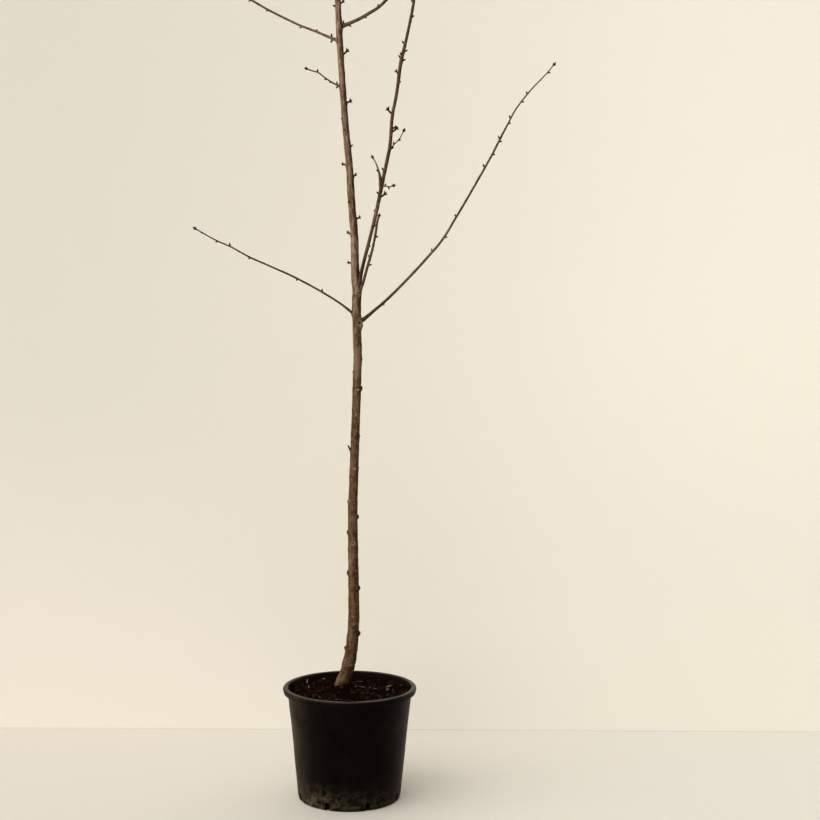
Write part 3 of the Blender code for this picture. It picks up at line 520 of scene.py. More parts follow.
# Waves round and along the limb with whole numbers of crests, so that they close: the sum
# of cos(n*turn + w*distance + phase), scaled to a spread of about one
def waves(turn, distance, count, crests, lengths, seed):
    rng = np.random.default_rng(seed)
    total = 0
    for _ in range(count):
        n, w = rng.integers(*crests, endpoint=True), 2 * np.pi / rng.uniform(*lengths)
        total = total + np.cos(n * turn + rng.choice([-1, 1]) * w * distance + rng.uniform(0, 6.28))
    return total / math.sqrt(count / 2)


# Pores: a raised dash in each cell of the unrolled bark, at its own place and of its own
# size, of height exp(-(across/wide)^2 - (along/tall)^2)
def pores(turn, distance, radius, seed):
    rng = np.random.default_rng(seed)
    row, columns = bark["poreRow"], bark["poreTurns"]
    rows = int(distance.max() / row) + 3
    shift, lift, size, shown = rng.random((4, rows, columns))
    column = turn / (2 * np.pi) * columns
    i, j = np.floor(distance / row).astype(int), np.floor(column).astype(int)
    total = np.zeros_like(turn)
    for a in (-1, 0, 1):
        for b in (-1, 0, 1):
            p, q = np.clip(i + a, 0, rows - 1), (j + b) % columns
            x = (column - (j + b + shift[p, q])) * 2 * np.pi / columns * radius
            y = distance - (i + a + lift[p, q]) * row
            wide, tall = [bark[k] * (0.5 + 0.7 * size[p, q]) for k in ("poreWide", "poreTall")]
            total += hump(x / wide, y / tall) * (shown[p, q] > 0.35) * (0.5 + size[p, q] / 2)
    return total


# A limb's bark from one distance to another: rings of points at the line plus the radius
# with its relief, along with the straightened place and the marks of each point
def barkSurface(limb, start, end, sides, seed, marks=(), ringsAt=(), collars=()):
    inner = (limb.along > start + 1e-4) & (limb.along < end - 1e-4)
    along = np.concatenate([[start], limb.along[inner], [end]])
    turn = turns(sides)
    s, t = np.meshgrid(along, turn, indexing="ij")
    radius = limb.radius(along)[:, None] + 0 * t
    thick = np.clip(radius / bark["fullRadius"], *bark["thickness"])
    relief = radius * bark["lobe"] * waves(t, s, *bark["lobeWaves"], seed)
    relief += bark["wrinkle"] * thick * waves(t, s, *bark["wrinkleWaves"], seed + 1)
    dash = pores(t, s, radius, seed + 2)
    relief += bark["pore"] * thick * dash
    dark, pale, red = np.zeros_like(t), dash * 0.5, np.zeros_like(t)

    def near(distance, bearing, reach):
        rows = np.abs(along - distance) < reach
        gap = (t[rows] - math.radians(bearing) + np.pi) % (2 * np.pi) - np.pi
        return rows, gap * radius[rows], s[rows] - distance

    def deepen(tone, rows, value):
        tone[rows] = np.maximum(tone[rows], value)

    for entry in limb.growths:
        rows, x, y = near(*entry[:2], 0.03)
        size = thick[rows] ** 0.5
        tall = np.where(y > 0, bark["cushionTall"] * 0.45, bark["cushionTall"]) * size
        bulge = hump(x / (bark["cushionWide"] * size), y / tall)
        relief[rows] += bark["cushion"] * size * bulge * min(1.3, entry[2] / 0.007)
        edge = np.hypot(x / bark["scarWide"], (y + bark["scarBelow"] * size) / bark["scarTall"])
        relief[rows] += bark["scar"] * size * hump((edge - 1) / 0.4)
        deepen(dark, rows, 0.75 * hump(edge / 0.8))
        deepen(pale, rows, 0.5 * hump((edge - 1.2) / 0.35))
    for distance, bearing, wide, tall, height, *tones in marks:
        rows, x, y = near(distance, bearing, tall * 3 + 0.002)
        blot = np.exp(-(((x / wide) ** 2 + (y / tall) ** 2) ** 1.3))
        relief[rows] += height * blot
        for tone, value in zip((dark, pale, red), tones):
            deepen(tone, rows, value * blot)
    for distance, strength in ringsAt:
        wave = s - (distance + bark["ringSway"] * np.cos(t * 2 + distance * 900))
        ridge = strength * hump(wave / bark["ringTall"])
        groove = strength * hump((wave - bark["grooveAbove"]) / bark["grooveTall"])
        relief += bark["ring"] * thick * (ridge - 0.5 * groove)
        dark, pale = np.maximum(dark, 0.3 * groove), np.maximum(pale, 0.4 * ridge)
    for distance, bearing, size in collars:
        rows, x, y = near(distance, bearing, 0.05)
        away = np.hypot(x, y * 0.8) / (bark["collarReach"] * size)
        relief[rows] += bark["collar"] * size * hump(away) * (1 + 0.12 * np.cos(away * 9))
        # A dark line painted above each collar: painted shade in the crease where the limb meets the bark
        deepen(dark, rows, 0.4 * hump((away - 0.75) / 0.22) * (y > 0))
    line, first, second = [limb.read(values, along) for values in (limb.points, limb.firsts, limb.seconds)]
    grain = np.stack([np.cos(t) * radius, np.sin(t) * radius, s + seed * 0.37], -1)
    values = [np.concatenate([v.reshape(-1, 3), v[:1].mean(1), v[-1:].mean(1)])
              for v in (grain, np.stack([dark, pale, red], -1))]
    return ringSurface(circles(line, first, second, turn, radius + relief)), values


def barkPiece(name, parts, material, nodes):
    grain, tones = [np.concatenate([part[1][k] for part in parts]) for k in (0, 1)]
    makePiece(name, joined([part[0] for part in parts]), material, nodes,
              {"grain": grain, "tones": tones}, bark["crease"])


# Where a limb leaves the trunk's bark: the distance, bearing and size of its collar
def collarOf(limb):
    for place, radius in zip(limb.points, limb.radii):
        distance = trunk.atHeight(place[2])
        away = place - trunk.read(trunk.points, distance)
        if np.linalg.norm(away) > trunk.radius(distance):
            bearing = math.degrees(math.atan2(away @ trunk.read(trunk.seconds, distance),
                                              away @ trunk.read(trunk.firsts, distance)))
            return [(distance, bearing, radius / bark["collarRadius"])]
    return []


# Bark colours: old wood and new wood with two browns each, the grey of the weathered skin,
# pores, scars and the red tinge, the dark of the blots and of the painted shade on the side
# away from the key light, the paler painted light on the side towards it, that side's way and
# the span over which painted shade turns to painted light. young is the pair of heights
# between which the bark turns lighter
barkColours = {
    "brown": (0.05, 0.023, 0.01), "tan": (0.14, 0.078, 0.036), "grey": (0.128, 0.088, 0.053),
    "newBrown": (0.078, 0.036, 0.018), "newTan": (0.386, 0.267, 0.164), "red": (0.12, 0.034, 0.017),
    "pale": (0.42, 0.3, 0.21), "dark": (0.01, 0.005, 0.0025), "shade": (0.03, 0.012, 0.0028),
    "bleach": (0.33, 0.255, 0.18), "paintedLightWay": (-0.84, -0.5, 0.2), "paintedLightSpan": (-0.28, 0.78),
    "young": (0.9, 1.3),
}


# Streaks run along the limb, patches and blots lie across it, and specks are its pores
def barkMaterial(name, patchScale, poreScale, depth, **changed):
    finish, tone = Finish(name), {**barkColours, **changed}
    mix = finish.mix
    grain, tones = finish.own("grain"), finish.own("tones")
    dark, pale, red = [finish.part(tones, axis) for axis in "XYZ"]
    young = finish.part(finish.place(), "Z").step(*tone["young"])
    normal = finish.node("NewGeometry", out="Normal")
    # How far the surface faces the key light: the share of painted light against painted shade
    paintedLightShare = finish.vector("DOT_PRODUCT", normal, tone["paintedLightWay"], out="Value").step(*tone["paintedLightSpan"])
    patches = finish.noise(grain, patchScale * 1.4, 2, 0.45, 0.6)
    blots = finish.noise(grain, patchScale * 2.1, 3, 0.5, 0.8)
    streaks = finish.noise(grain, patchScale * 2, 2, 0.45, 0.16)
    veins = finish.noise(grain, patchScale * 3.6, 2, 0.45, 0.1)
    tinge = finish.noise(grain, patchScale * 0.8, 2, tall=0.35).step(0.5, 0.62)
    fine = finish.noise(grain, 1400, 4, 0.65, 0.25)
    speck = finish.cells(finish.vector("MULTIPLY", grain, (1, 1, 2.6)), poreScale).step(0.3, 0.16)
    skin = patches * 0.25 + streaks * 0.4 + veins * 0.35
    colour = mix((patches * 0.6 + streaks * 0.4).step(0.43, 0.57), tone["brown"], tone["tan"])
    colour = mix(streaks.step(0.54, 0.68) * 0.5, colour, tone["grey"])
    colour = mix(young, colour, mix(skin.step(0.44, 0.56), tone["newBrown"], tone["newTan"]))
    colour = mix((red * 0.8).most(tinge * 0.6), colour, mix(0.6, colour, tone["red"]))
    colour = mix(blots.step(0.55, 0.7) * (0.8 - young * 0.25), colour, tone["shade"])
    # Painted shade on the side away from the key light and painted light on the side towards it
    colour = mix(paintedLightShare, mix(0.35 + young * 0.5, colour, tone["shade"]),
                 mix(0.05 + young * 0.1, colour, tone["bleach"]))
    colour = mix(fine.step(0.3, 0.5), mix(0.35, colour, tone["dark"]), colour)
    colour = mix((pale * 0.8).most(speck * 0.35), colour, tone["pale"])
    colour = mix((dark * 0.9).step(0.05, 0.9), colour, tone["dark"])
    height = fine * 0.45 + streaks * 0.45 + speck * 0.4 + pale * 0.3 - dark * 0.4
    return finish.end(Base_Color=colour, Roughness=0.62 + fine * 0.22, Normal=finish.bump(height, depth),
                      Specular_IOR_Level=0.03)


trunkBark = barkMaterial("trunkBark", 85, 230, 0.00045)
boughBark = barkMaterial(
    "boughBark", 110, 330, 0.0003, brown=(0.056, 0.031, 0.011), tan=(0.132, 0.086, 0.035),
    grey=(0.128, 0.098, 0.048), newBrown=(0.068, 0.04, 0.015), newTan=(0.194, 0.136, 0.064))
twigBark = barkMaterial(
    "twigBark", 150, 420, 0.0002, brown=(0.046, 0.024, 0.009), tan=(0.104, 0.061, 0.025),
    grey=(0.094, 0.067, 0.034), newBrown=(0.05, 0.028, 0.011), newTan=(0.124, 0.077, 0.036),
    bleach=(0.19, 0.135, 0.08))

# Marks of the boughs, as for the trunk but by the distance from the bough's root. The dark
# along the second leader is partly its redder bark and partly painted shade where the trunk
# shades it
boughMarks = {
    "second_leader": [
        (60, 0, 30, 60, 0, 0.64, 0, 1), (245, 0, 30, 30, 0, 0.35, 0, 0.9),
        (330, 0, 30, 30, 0, 0.38, 0, 0.6), (420, 0, 30, 50, 0, 0.15, 0, 0.5),
    ],
    "upper_right": [(50, 90, 4, 60, 0, 0, 0.35), (10, 0, 30, 12, 0, 0.2, 0, 0.6)],
    "upper_left": [(10, 0, 30, 10, 0, 0.1, 0, 0.6)],
    "low_right": [(12, 0, 30, 14, 0, 0.15, 0, 0.6)],
}
marks = [(trunk.atHeight(z), *rest) for z, *rest in metres(trunkMarks, (0, 2, 3, 4))]
rings = [(trunk.atHeight(z), strength) for z, strength in metres(trunkRings, (0,))]
collars = sum(map(collarOf, limbs.values()), [])
trunkPart = barkSurface(trunk, 0, trunk.length, barkGrid["trunkSides"], 11, marks, rings, collars)
barkPiece("trunk_bark", [trunkPart], trunkBark, ["trunk"])

boughParts, twigParts = [], []
for number, (name, limb) in enumerate(limbs.items()):
    seed = 30 + 5 * number
    draw = random.Random(seed)
    rings = [(limb.length * share + draw.uniform(-bark["yearJitter"], bark["yearJitter"]),
              bark["yearStrength"]) for share in bark["yearRings"]]
    marks = metres(boughMarks.get(name, ()), (0, 2, 3, 4))
    if limb.split:
        boughParts.append(barkSurface(limb, 0, limb.split, barkGrid["boughSides"], seed, marks, rings))
    twigParts.append(barkSurface(limb, limb.split, limb.length, barkGrid["twigSides"], seed, marks, rings))
for number, shoot in enumerate(shoots):
    twigParts.append(barkSurface(shoot, 0, shoot.length, barkGrid["twigSides"], 120 + 5 * number))
barkPiece("bough_bark", boughParts, boughBark,
          ["bough_" + name for name in limbs if limbs[name].split])
barkPiece("twig_bark", twigParts, twigBark, ["twigs_" + name for name in limbs])

# Buds and spurs. The profile is the share of the length and of the width as radius
budForm = {
    "at": (-0.3, -0.06, 0.14, 0.34, 0.55, 0.75, 0.9, 1.0),
    "radius": (0.3, 0.4, 0.48, 0.5, 0.43, 0.29, 0.15, 0.03),
    "sides": 8, "slender": 0.55, "leastWidth": 0.004, "stout": 0.45, "scale": 0.07,
}
# On the trunk's old wood a short growth is a knob that lies against the bark
knobForm = {
    "most": 0.0065, "below": 1.3, "tall": 1.55, "width": 0.76, "sink": 0.0005, "back": 0.35, "lean": 0.24,
}
spurForm = {
    "bud": 0.0082, "share": 0.54, "slender": 0.45, "middle": 0.85, "around": (1, 0.6, 0.94, 0.6), "fan": 1.2,
    "twist": 83, "radii": (0.0024, 0.0018), "sink": 0.003, "knee": 0.3, "stagger": 0.0004,
    "thornRadii": (0.003, 0.0013), "thornKnee": 0.4, "rings": 7, "sides": 8, "swell": 0.13,
    "tip": (0.0064, 0.004), "tipFan": 0.8, "tipBearings": (20, 200), "tipSink": 0.003,
    "tipSide": (0.007, 0.0031),
}


# Two directions square to each of several others
def squareTo(forwards):
    helper = np.where(np.abs(forwards[:, 2:]) > 0.8, [[1.0, 0, 0]], [[0, 0, 1.0]])
    first = unit(np.cross(forwards, helper))
    return first, np.cross(forwards, first)


# Buds: circles of the profile's radius along each bud, pushed out in turn by the edges of
# the scales, which lie in a spiral
def budSurface(buds):
    roots, ways, lengths, widths = [np.array([bud[k] for bud in buds]) for k in range(4)]
    forwards = unit(ways)
    first, second = squareTo(forwards)
    at, radius = np.array(budForm["at"]), np.array(budForm["radius"])
    sides, count = budForm["sides"], len(at)
    edge = 1 + budForm["scale"] * ((np.arange(count)[:, None] + np.arange(sides) // 2) % 2 * 2 - 1)
    line = roots[:, None] + forwards[:, None] * (lengths[:, None] * at)[:, :, None]
    rings = circles(line, first[:, None], second[:, None], turns(sides),
                    widths[:, None, None] * radius[None, :, None] * edge)
    shade = np.broadcast_to(at[None, :, None], (len(buds), count, sides))
    tones = np.stack([shade, np.broadcast_to(edge, shade.shape), 0 * shade], -1)
    tones = np.concatenate([np.concatenate([v.reshape(-1, 3), [[-0.3, 1, 0], [1, 1, 0]]]) for v in tones])
    return joined([ringSurface(ring) for ring in rings]), tones


# Spur stems: a bent path from inside the bark to the buds, as (1-t)^2 a + 2t(1-t) b + t^2 c,
# with circles from one radius to another that swell at each year's ring
def spurSurface(spurs):
    starts, knees, ends, first, last = [np.array([spur[k] for spur in spurs])[:, None] for k in range(5)]
    t = np.linspace(0, 1, spurForm["rings"])[None, :, None]
    path = (1 - t) ** 2 * starts + 2 * t * (1 - t) * knees + t**2 * ends
    forwards = unit(np.gradient(path, axis=1))
    swell = 1 + spurForm["swell"] * (np.arange(spurForm["rings"]) % 2)
    radii = (first + (last - first) * t[:, :, 0]) * swell
    surfaces = []
    for line, forward, radius in zip(path, forwards, radii):
        first = squareTo(np.repeat(forward[:1], len(line), 0))[0]
        second = unit(np.cross(forward, first))
        rings = circles(line, np.cross(second, forward), second, turns(spurForm["sides"]), radius[:, None])
        surfaces.append(ringSurface(rings))
    return joined(surfaces)


buds, spurs = [], []
for limb in everyLimb + shoots:
    for entry in limb.growths:
        distance, bearing, length = entry[:3]
        if limb.split and -growthRule["splitBare"] <= distance - limb.split < growthRule["splitBare"]:
            continue
        surface, out, forward = limb.leaves(distance, bearing)
        if leanOf(entry, "spurLean") > growthRule["thornLean"]:
            way = unit(out + forward * entry[3]) * length
            spurs.append((surface - out * spurForm["sink"], surface + way * spurForm["thornKnee"],
                          surface + way, *spurForm["thornRadii"]))
            continue
        if limb is trunk and length <= knobForm["most"] and distance < trunk.atHeight(knobForm["below"]):
            tall = length * knobForm["tall"]
            buds.append((surface - out * knobForm["sink"] - forward * tall * knobForm["back"],
                         forward + out * knobForm["lean"], tall, tall * knobForm["width"]))
            continue
        if length <= growthRule["budMost"]:
            width = max(budForm["leastWidth"], length * budForm["slender"],
                        limb.radius(distance) * budForm["stout"])
            buds.append((surface, out + forward * leanOf(entry, "budLean"), length, width))
            continue
        budLength = min(spurForm["bud"], length * spurForm["share"])
        budWidth, stem = budLength * spurForm["slender"], length - budLength
        way = unit(out + forward * leanOf(entry, "spurLean"))
        end = surface + way * stem
        spurs.append((surface - out * min(limb.radius(distance), spurForm["sink"]),
                      surface + out * spurForm["knee"] * stem, end, *spurForm["radii"]))
        aside = unit(np.cross(way, limb.leaves(distance, bearing + spurForm["twist"])[1]))
        square = np.cross(way, aside)
        buds.append((end, way, budLength * spurForm["middle"], budWidth))
        for number, (share, turn) in enumerate(zip(spurForm["around"], turns(len(spurForm["around"])))):
            fan = (aside * math.cos(turn) + square * math.sin(turn)) * spurForm["fan"]
            buds.append((end - way * spurForm["stagger"] * number, way + fan, budLength * share, budWidth))
    near = limb.length - spurForm["tipSink"]
    forward = unit(limb.read(limb.forwards, near))
    buds.append((limb.read(limb.points, limb.length), forward, *spurForm["tip"]))
    for bearing in spurForm["tipBearings"]:
        fan = limb.leaves(near, bearing)[1] * spurForm["tipFan"]
        buds.append((limb.read(limb.points, near), forward + fan, *spurForm["tipSide"]))

budSkin = Finish("budSkin")
tones = budSkin.own("tones")
tip, ridge = budSkin.part(tones, "X"), budSkin.part(tones, "Y")
mottle = budSkin.noise(budSkin.place(), 900)
budColour = budSkin.mix(tip.step(0.1, 1), (0.034, 0.017, 0.009), (0.016, 0.008, 0.0045))
budColour = budSkin.mix(ridge.step(0.98, 1.06) * 0.25, budColour, (0.075, 0.037, 0.018))
budColour = budSkin.mix(mottle.step(0.4, 0.7) * 0.4, budColour, (0.016, 0.008, 0.004))
budSkin.end(Base_Color=budColour, Roughness=0.6 + mottle * 0.2, Normal=budSkin.bump(mottle, 0.0002),
            Specular_IOR_Level=0.05)


# A finish that wanders between two colours: the noise's scale, detail and roughness, the
# shader's roughness and how much the noise adds to it, the bump's depth and the gloss
def mottled(name, first, second, roughness, depth, noise=(260, 4, 0.65), more=0.1, gloss=0.02):
    finish = Finish(name)
    cloud = finish.noise(finish.place(), *noise)
    return finish.end(Base_Color=finish.mix(cloud.step(0.35, 0.65), first, second),
                      Roughness=roughness + cloud * more, Normal=finish.bump(cloud, depth),
                      Specular_IOR_Level=gloss)


surface, tones = budSurface(buds)
makePiece("buds", surface, budSkin.owner, vectors={"tones": tones})
spurSkin = mottled("spurSkin", (0.018, 0.01, 0.005), (0.052, 0.03, 0.017), 0.6, 0.0004,
                   (700, 4, 0.6), 0.25, 0.05)
makePiece("spur_stems", spurSurface(spurs), spurSkin)
print(len(buds), "buds,", len(spurs), "spurs")

# The pot, a 15 litre container
pot = {
    "height": 0.256, "rim": 0.153, "innerRim": 0.141, "bead": 0.005, "lip": 0.0135, "lipRadius": 0.1515,
    "footRadius": 0.1172, "spread": 0.101, "wall": 0.0022, "floor": 0.003, "slots": 8, "slotWidth": 0.011,
    "slotHeight": 0.02, "slotReach": 0.013, "sectors": 256, "dent": 0.0004,
    "dentWaves": (9, (2, 5), (0.2, 0.6), 5), "crease": 38,
}
# Turns of its section, in millimetres: across from the rim's inner edge and below the top,
# across and below from the lip, height and the cut from the wall, then plain places
potTurns = {
    "inner": [(-0.4, 4.2), (0.1, 1.8), (0.7, 0.6), (1.6, 0), (4, 0.35)],
    "lip": [(0, 9.4), (-0.1, 11), (-0.3, 12.6), (-0.6, 13.2), (-1.3, 13.5)],
    "foot": [(8.8, 0), (8, 0.5), (7, 0.7), (3.6, 0.7), (2, 1), (0.8, 1.9), (0, 3)],
    "under": [(108.5, 0), (107, 0.3), (106, 1.2), (85, 1.2), (84.5, 0.6), (83.5, 0.6), (83, 1.2),
              (45, 1.2), (20, 1.2)],
}


# The wall's outer radius: at the foot, plus the spread times the height
def potWall(height):
    return pot["footRadius"] + pot["spread"] * height


# The pot's section from the middle of its floor, up the inside, over the rim, down the
# outside and under the foot, turned round the axis with a slow wave in the wall's radius
def potSurface():
    top, wall, bead, floor = pot["height"], pot["wall"], pot["bead"], pot["floor"]
    lipFoot, beadX, corner = top - pot["lip"], pot["rim"] - pot["bead"], potWall(0.003) - wall
    inner, lip, foot, under = [metres(rows) for rows in potTurns.values()]
    profile = [(x, floor) for x in (0.02, 0.06, 0.1, corner - 0.004)]
    profile += [(corner - 0.001, floor + 0.001), (potWall(0.007) - wall, 0.007)]
    profile += [(potWall(z) - wall, z) for z in np.linspace(0.02, lipFoot - 0.002, 16)]
    profile += [(pot["innerRim"] + x, top - z) for x, z in inner] + [(beadX - 0.0016, top - 0.0002)]
    profile += [(beadX + bead * math.cos(a), top - bead + bead * math.sin(a))
                for a in np.radians(np.arange(100, -51, -10))]
    profile += [(pot["lipRadius"] + x, top - z) for x, z in lip]
    profile += [(potWall(lipFoot) + 0.0016, lipFoot + 0.0003), (potWall(lipFoot) + 0.0005, lipFoot - 0.0003)]
    profile += [(potWall(z), z) for z in (lipFoot - 0.002, *np.linspace(lipFoot - 0.006, 0.0105, 34))]
    profile += [(potWall(z) - cut, z) for z, cut in foot] + under
    r, z = np.array(profile).T
    turn = turns(pot["sectors"])
    firm = np.clip(np.minimum(z - 0.01, 0.225 - z) / 0.05, 0, 1)[:, None] * (r > 0.1)[:, None]
    wave = waves(turn[None], z[:, None] * 2, *pot["dentWaves"])
    r = r[:, None] - pot["dent"] * firm * (1.2 + wave.clip(-1, 1))
    rings = np.stack([r * np.cos(turn), r * np.sin(turn), z[:, None] + 0 * turn], -1)
    return ringSurface(rings[:, ::-1])


# A drain slot's cutter: an upright outline with a round top, run in through the wall
def slotCutters():
    half, inner = pot["slotWidth"] / 2, pot["footRadius"] - pot["slotReach"]
    arc = np.radians(np.linspace(0, 180, 13))
    x = np.concatenate([[half], half * np.cos(arc), [-half]])
    z = np.concatenate([[-0.002], pot["slotHeight"] - half + half * np.sin(arc), [-0.002]])
    surfaces = []
    for turn in turns(pot["slots"]) + math.pi / pot["slots"]:
        out = np.array([math.cos(turn), math.sin(turn), 0])
        aside = np.array([-math.sin(turn), math.cos(turn), 0])
        outline = x[:, None] * aside + z[:, None] * np.array([0, 0, 1.0])
        rings = np.stack([outline + out * reach for reach in (inner, inner + 2 * pot["slotReach"])])
        surfaces.append(ringSurface(rings))
    return joined(surfaces)


# The pot's plastic, with dust at the foot and the slots, more of it at the left, a brown film on
# the sides that is partly dust and partly painted sheen, a worn rim with a painted highlight
# on its top, and faint scuffs
potSkin = Finish("potPlastic")
place = potSkin.place()
x, y, z = [potSkin.part(place, axis) for axis in "XYZ"]
noise, mix, left = potSkin.noise, potSkin.mix, x * -1
grainFine, clouds = noise(place, 1600, 3, 0.6), noise(place, 16, 4, 0.6)
scuffs, blots = noise(place, 330, 3, 0.7, 0.05), noise(place, 62, 6, 0.68, 0.8)
curls = noise(place, 78) - 0.5
curl = (curls * curls).step(0.0009, 0.0001)
spots = potSkin.cells(place, 44, 0.8) - 0.33
spot = (spots * spots).step(0.0016, 0.0002)
low, leftSide = z.step(0.07, 0.006), left.step(-0.02, 0.08)
slotTurn = x.sum("ARCTAN2", y, x) * pot["slots"] + math.pi
nearSlot = slotTurn.sum("COSINE", slotTurn).step(0.55, 0.95) * z.step(0.036, 0.014)
dust = low * (0.34 + leftSide * 0.66) * (blots.step(0.4, 0.66) * 0.8 + curl * 0.5 + spot * 0.35)
dust = dust.most(nearSlot * (0.25 + leftSide * 0.5) * (blots.step(0.42, 0.6) + curl * 0.5))
dust = dust.most(low * scuffs.step(0.6, 0.72) * (0.12 + leftSide * 0.3)).most(blots.step(0.6, 0.78) * 0.1)
# Brown film on the left and right sides: partly dust, partly a painted sheen where the sides turn away
sideFilmAndSheen = left.step(0.075, 0.13) * 0.68 + x.step(0.085, 0.13) * 0.26
ridge = z.step(0.008, 0.0096) * z.step(0.013, 0.0108) * clouds.step(0.35, 0.6)
# The top of the rim is worn and lightened: partly wear, partly a painted highlight along the bead
rimWearAndHighlight = z.step(0.2532, 0.2554) * (0.55 + clouds.step(0.35, 0.65) * 0.45)
away = potSkin.vector("LENGTH", potSkin.vector("MULTIPLY", place, (1, 1, 0)), out="Value")
inside = z.step(0.232, 0.236) * away.step(0.1415, 0.1395)
colour = mix(clouds.step(0.35, 0.7), (0.0015, 0.0011, 0.0006), (0.0032, 0.0024, 0.0015))
for share, coat in (
        (sideFilmAndSheen * clouds.step(0.3, 0.6), (0.036, 0.024, 0.013)), (rimWearAndHighlight * 0.9, (0.034, 0.028, 0.024)),
        (inside * 0.8, (0.012, 0.0055, 0.0022)), (scuffs.step(0.62, 0.74) * 0.14, (0.045, 0.038, 0.03)),
        (dust * 0.8 + ridge * 0.25, (0.108, 0.083, 0.053))):
    colour = mix(share, colour, coat)
potSkin.end(Base_Color=colour, Roughness=0.36 + dust * 0.35 + scuffs * 0.1 - rimWearAndHighlight * 0.06,
            Normal=potSkin.bump(grainFine * 0.5 + scuffs * 0.25 + dust * 0.4, 0.00025),
            Specular_IOR_Level=0.03, Coat_Weight=rimWearAndHighlight * 0.25, Coat_Roughness=0.22)
potPiece = makePiece("pot_shell", potSurface(), potSkin.owner, ["pot"])
cutter = makePiece("slot_cutter", slotCutters(), potSkin.owner)
cut = potPiece.modifiers.new("slots", "BOOLEAN")
cut.object, cut.operation, cut.solver = cutter, "DIFFERENCE", "EXACT"
potPiece.data = bpy.data.meshes.new_from_object(potPiece.evaluated_get(bpy.context.evaluated_depsgraph_get()))
potPiece.modifiers.clear()
bpy.data.objects.remove(cutter)
potPiece.data.shade_smooth()
potPiece.data.set_sharp_from_angle(angle=math.radians(pot["crease"]))
print("pot cut", len(potPiece.data.polygons))

# The compost: its filling, then loose crumbs, bits of bark, fibres and pale slivers
compost = {
    "level": 0.24, "mound": 0.0105, "moundReach": 0.04, "rings": 130, "sectors": 300, "sink": 0.0016,
    "lumps": ((0.02, 0.0026), (0.01, 0.0024), (0.0044, 0.0011)), "crumbs": 1500,
    "crumbSize": (0.0012, 0.0036), "footCrumbs": 130, "barkBits": 150, "barkSize": (0.003, 0.0092),
    "heaps": ((0.014, -0.013, 0.012, 0.005), (-0.004, -0.02, 0.007, 0.0022)), "fibres": 110,
    "clear": 0.0165, "gap": 0.0003, "foot": 0.2455, "evenness": 0.85, "sideHeights": (0.225, 0.12, 0.0036),
    "grainSpan": (0.12, 0.88), "strandLift": 0.0005, "strandWave": 0.0006, "strandTaper": 0.6,
}
footX, footY = trunk.read(trunk.points, trunk.atHeight(compost["foot"]))[:2]


# The filling's radius: the wall's, less its thickness and a gap
def fillRadius(height):
    return potWall(height) - pot["wall"] - compost["gap"]


# Domes: in each cell of a square grid one dome at its own place and of its own size; the
# height is the highest dome's sqrt(1 - d^2) there
def domes(x, y, cell, seed):
    rng = np.random.default_rng(seed)
    count = int(0.4 / cell) + 4
    shiftX, shiftY, size = rng.random((3, count, count))
    i, j = np.floor((x + 0.2) / cell).astype(int) + 1, np.floor((y + 0.2) / cell).astype(int) + 1
    best = np.zeros_like(x)
    for a in (-1, 0, 1):
        for b in (-1, 0, 1):
            p, q = np.clip(i + a, 0, count - 1), np.clip(j + b, 0, count - 1)
            dx = x + 0.2 - (p - 1 + shiftX[p, q]) * cell
            dy = y + 0.2 - (q - 1 + shiftY[p, q]) * cell
            reach = cell * (0.45 + 0.5 * size[p, q])
            dome = np.sqrt(np.clip(1 - (dx**2 + dy**2) / reach**2, 0, 1)) * (0.4 + 0.6 * size[p, q])
            best = np.maximum(best, dome)
    return best


# The compost's height: its level, a mound round the trunk, lumps of three sizes and heaps
def soilHeight(x, y):
    fromX, fromY = x - footX, y - footY
    reach = compost["moundReach"]
    height = compost["level"] - compost["sink"] + compost["mound"] * hump(fromX / reach, fromY / reach)
    for number, (cell, tall) in enumerate(compost["lumps"]):
        height = height + tall * domes(x, y, cell, 50 + number)
    for heapX, heapY, reach, tall in compost["heaps"]:
        height = height + tall * hump((fromX - heapX) / reach, (fromY - heapY) / reach)
    return height


# The filling: its top is the height above a disc's rings, its side and foot lie in the pot
def soilSurface():
    reach = np.linspace(0, 1, compost["rings"] + 1)[1:] ** compost["evenness"] * fillRadius(compost["level"])
    turn = turns(compost["sectors"])
    r, t = np.meshgrid(reach, turn, indexing="ij")
    x, y = r * np.cos(t), r * np.sin(t)
    sides = [np.stack([fillRadius(z) * np.cos(turn), fillRadius(z) * np.sin(turn), z + 0 * turn], -1)
             for z in compost["sideHeights"]]
    return ringSurface(np.concatenate([np.stack([x, y, soilHeight(x, y)], -1), sides])[:, ::-1])


compostSkin = Finish("compost")
place = compostSkin.place()
damp, crumb = compostSkin.noise(place, 120, 5, 0.65), compostSkin.noise(place, 620, 4, 0.7)
soilColour = compostSkin.mix(damp.step(0.35, 0.65), (0.0016, 0.0005, 0.0001), (0.0075, 0.0026, 0.0008))
soilColour = compostSkin.mix(crumb.step(0.58, 0.72) * 0.6, soilColour, (0.015, 0.0055, 0.0022))
compostSkin.end(Base_Color=soilColour, Roughness=0.85 + crumb * 0.12,
                Normal=compostSkin.bump(crumb * 0.7 + damp * 0.5, 0.0016), Specular_IOR_Level=0.015)
makePiece("compost", soilSurface(), compostSkin.owner, ["soil"])


